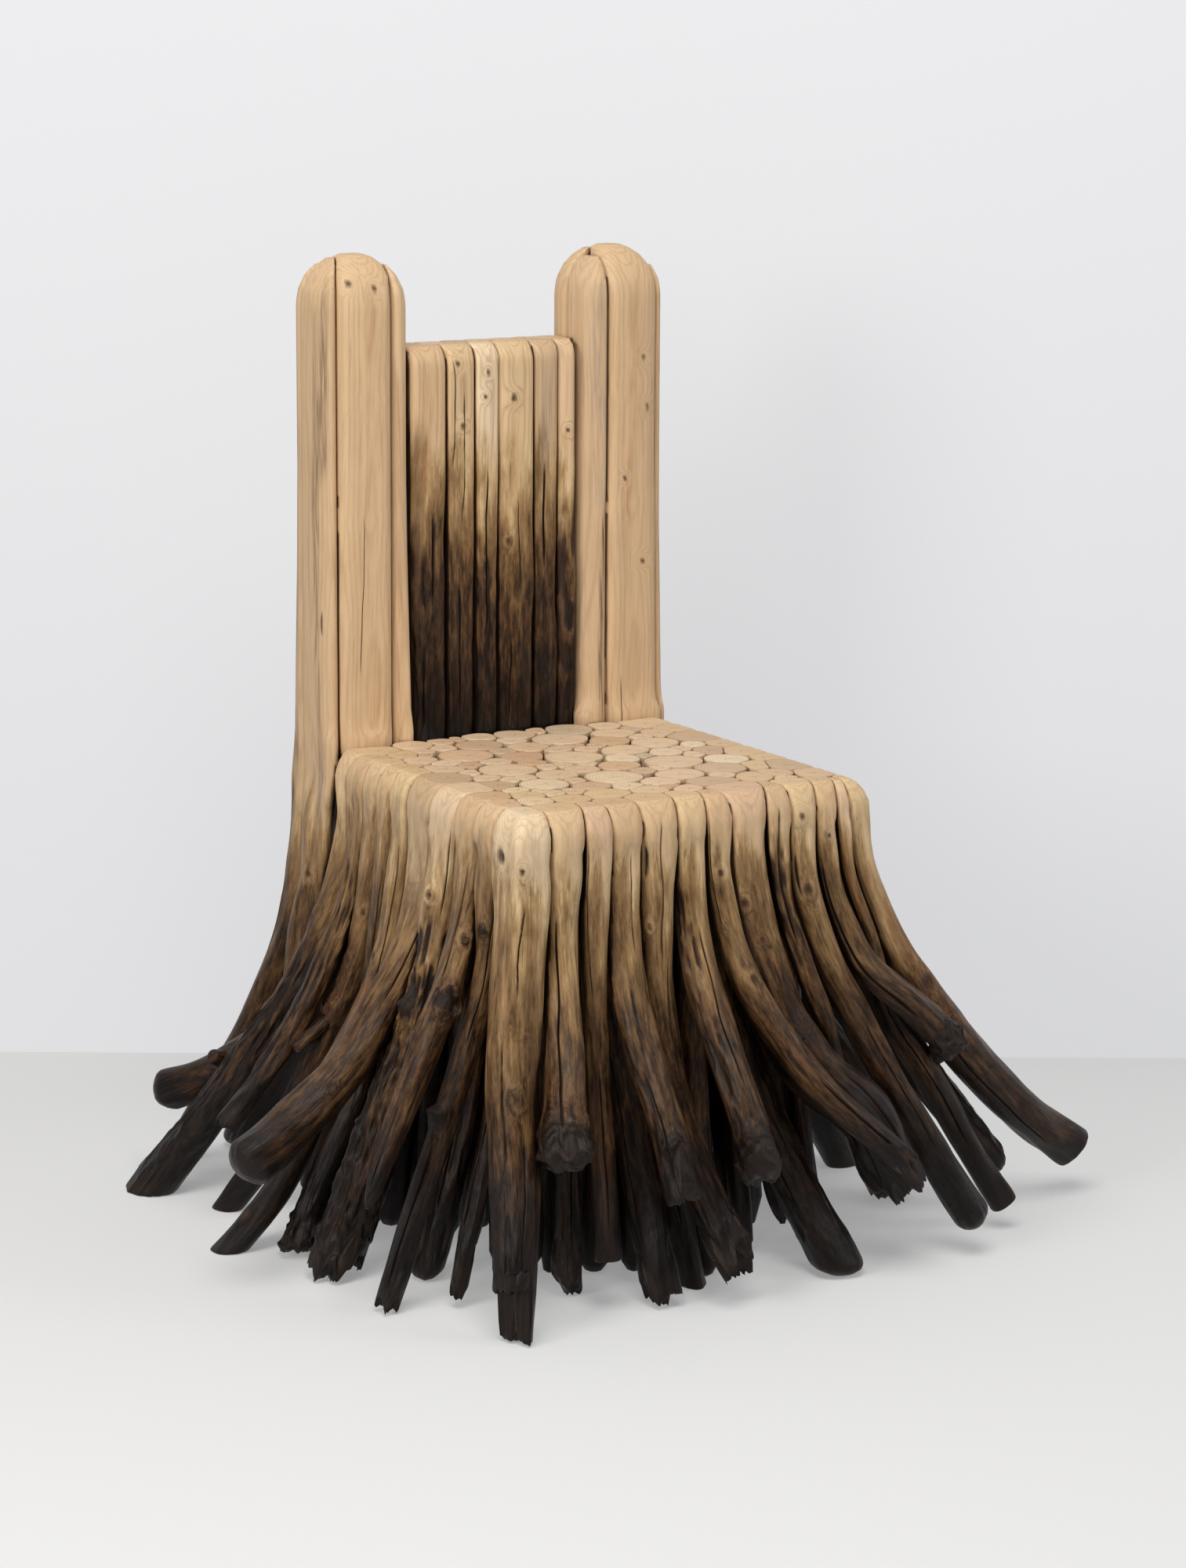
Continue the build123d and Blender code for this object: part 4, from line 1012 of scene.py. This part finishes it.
# ---- the middle of the seat -----------------------------------------------------------
# Thin twigs packed upright between the edges, their tops sanded level with them.  Only
# that pale end grain shows.
end_grain = wood("end_grain", streaks=0.5, tones=(
    (0.0, (0.60, 0.51, 0.36)), (0.2, (0.64, 0.41, 0.25)), (0.4, (0.80, 0.64, 0.42)),
    (0.6, (0.74, 0.51, 0.33)), (0.8, (0.82, 0.67, 0.47)), (1.0, (0.66, 0.44, 0.26))))
for row in range(1, 5):
    node = f"seat_middle_{row}"
    skins = []
    for number, (tree, points) in enumerate(branches_of(node)):
        skins += skin(tree, points, 140 + 30 * row + number, spacing=0.03, columns=48, soft=True)
    made = piece(node + "_wood", skins, end_grain)
    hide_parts(node)

# ---- second ring ----------------------------------------------------------------------
# Darker branches just inside the edges, whose feet show between the outer ones.  They are
# cracked and rough, and keep their natural skin.
for node in ("under_front_branches", "under_left_branches", "under_right_branches"):
    skins = []
    for number, (tree, points) in enumerate(branches_of(node)):
        crack = ("check", 150 + 20 * (number % 3), 420, 205 + 17 * (number % 4), 2, 5)
        bark = ("bark", 200, 480, 240, 120, 0.4 + 0.3 * (number % 2))
        end = ("broken", "worn", "sawn", "broken", "pointed")[number % 5]
        skins += skin(tree, points, 300 + number, (crack, bark), end, -0.06, spacing=0.004, columns=64)
    made = piece(node + "_wood", skins, peeled_wood)
    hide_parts(node)

# ---- steel rods -----------------------------------------------------------------------
# Plain drawn rods, cut square with a small bevel, driven through holes in the branches.
# They tie the bundle together from inside.
ROD_RADIUS = 0.003
ROD_SIDES = 24
# rings of a rod: the place as a share of its length, and the share of its radius there
ROD_RINGS = ((-0.5, 0.8), (-0.499, 0.99), (0.499, 0.99), (0.5, 0.8))
steel = bpy.data.materials.new("drawn_steel")
steel.use_nodes = True
place = add(steel.node_tree, "ShaderNodeTexCoord").outputs["Object"]
lines = speckle(scaled(place, (60, 60, 900)), 4.0, 0.6)
feed(steel.node_tree.nodes["Principled BSDF"], {
    "Metallic": 1.0, "Base Color": ramp(lines, (0.3, (0.42, 0.43, 0.44)), (0.7, (0.6, 0.61, 0.62))),
    "Roughness": ramp(lines, (0.3, 0.25), (0.7, 0.45))})
for node in ("seat_cross_rods", "seat_long_rods", "back_cross_rods"):
    points, faces = [], []
    for _, solid in branches_of(node):
        low, high = Vector(solid.min(0)), Vector(solid.max(0))
        axis = max(range(3), key=lambda k: (high - low)[k])
        first, second = (k for k in range(3) if k != axis)
        start = len(points)
        for along, thick in ROD_RINGS:
            for k in range(ROD_SIDES):
                spot = (low + high) / 2
                spot[axis] += along * (high - low)[axis]
                spot[first] += ROD_RADIUS * thick * math.cos(TAU * k / ROD_SIDES)
                spot[second] += ROD_RADIUS * thick * math.sin(TAU * k / ROD_SIDES)
                points.append(tuple(spot))
        for ring in range(len(ROD_RINGS) - 1):
            for k in range(ROD_SIDES):
                a = start + ROD_SIDES * ring + k
                b = start + ROD_SIDES * ring + (k + 1) % ROD_SIDES
                faces.append((a, b, b + ROD_SIDES, a + ROD_SIDES))
        faces.append(tuple(range(start + ROD_SIDES - 1, start - 1, -1)))
        faces.append(tuple(range(len(points) - ROD_SIDES, len(points))))
    made = new_object(node + "_steel", points, faces, steel)
    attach(made, "root")
    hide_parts(node)
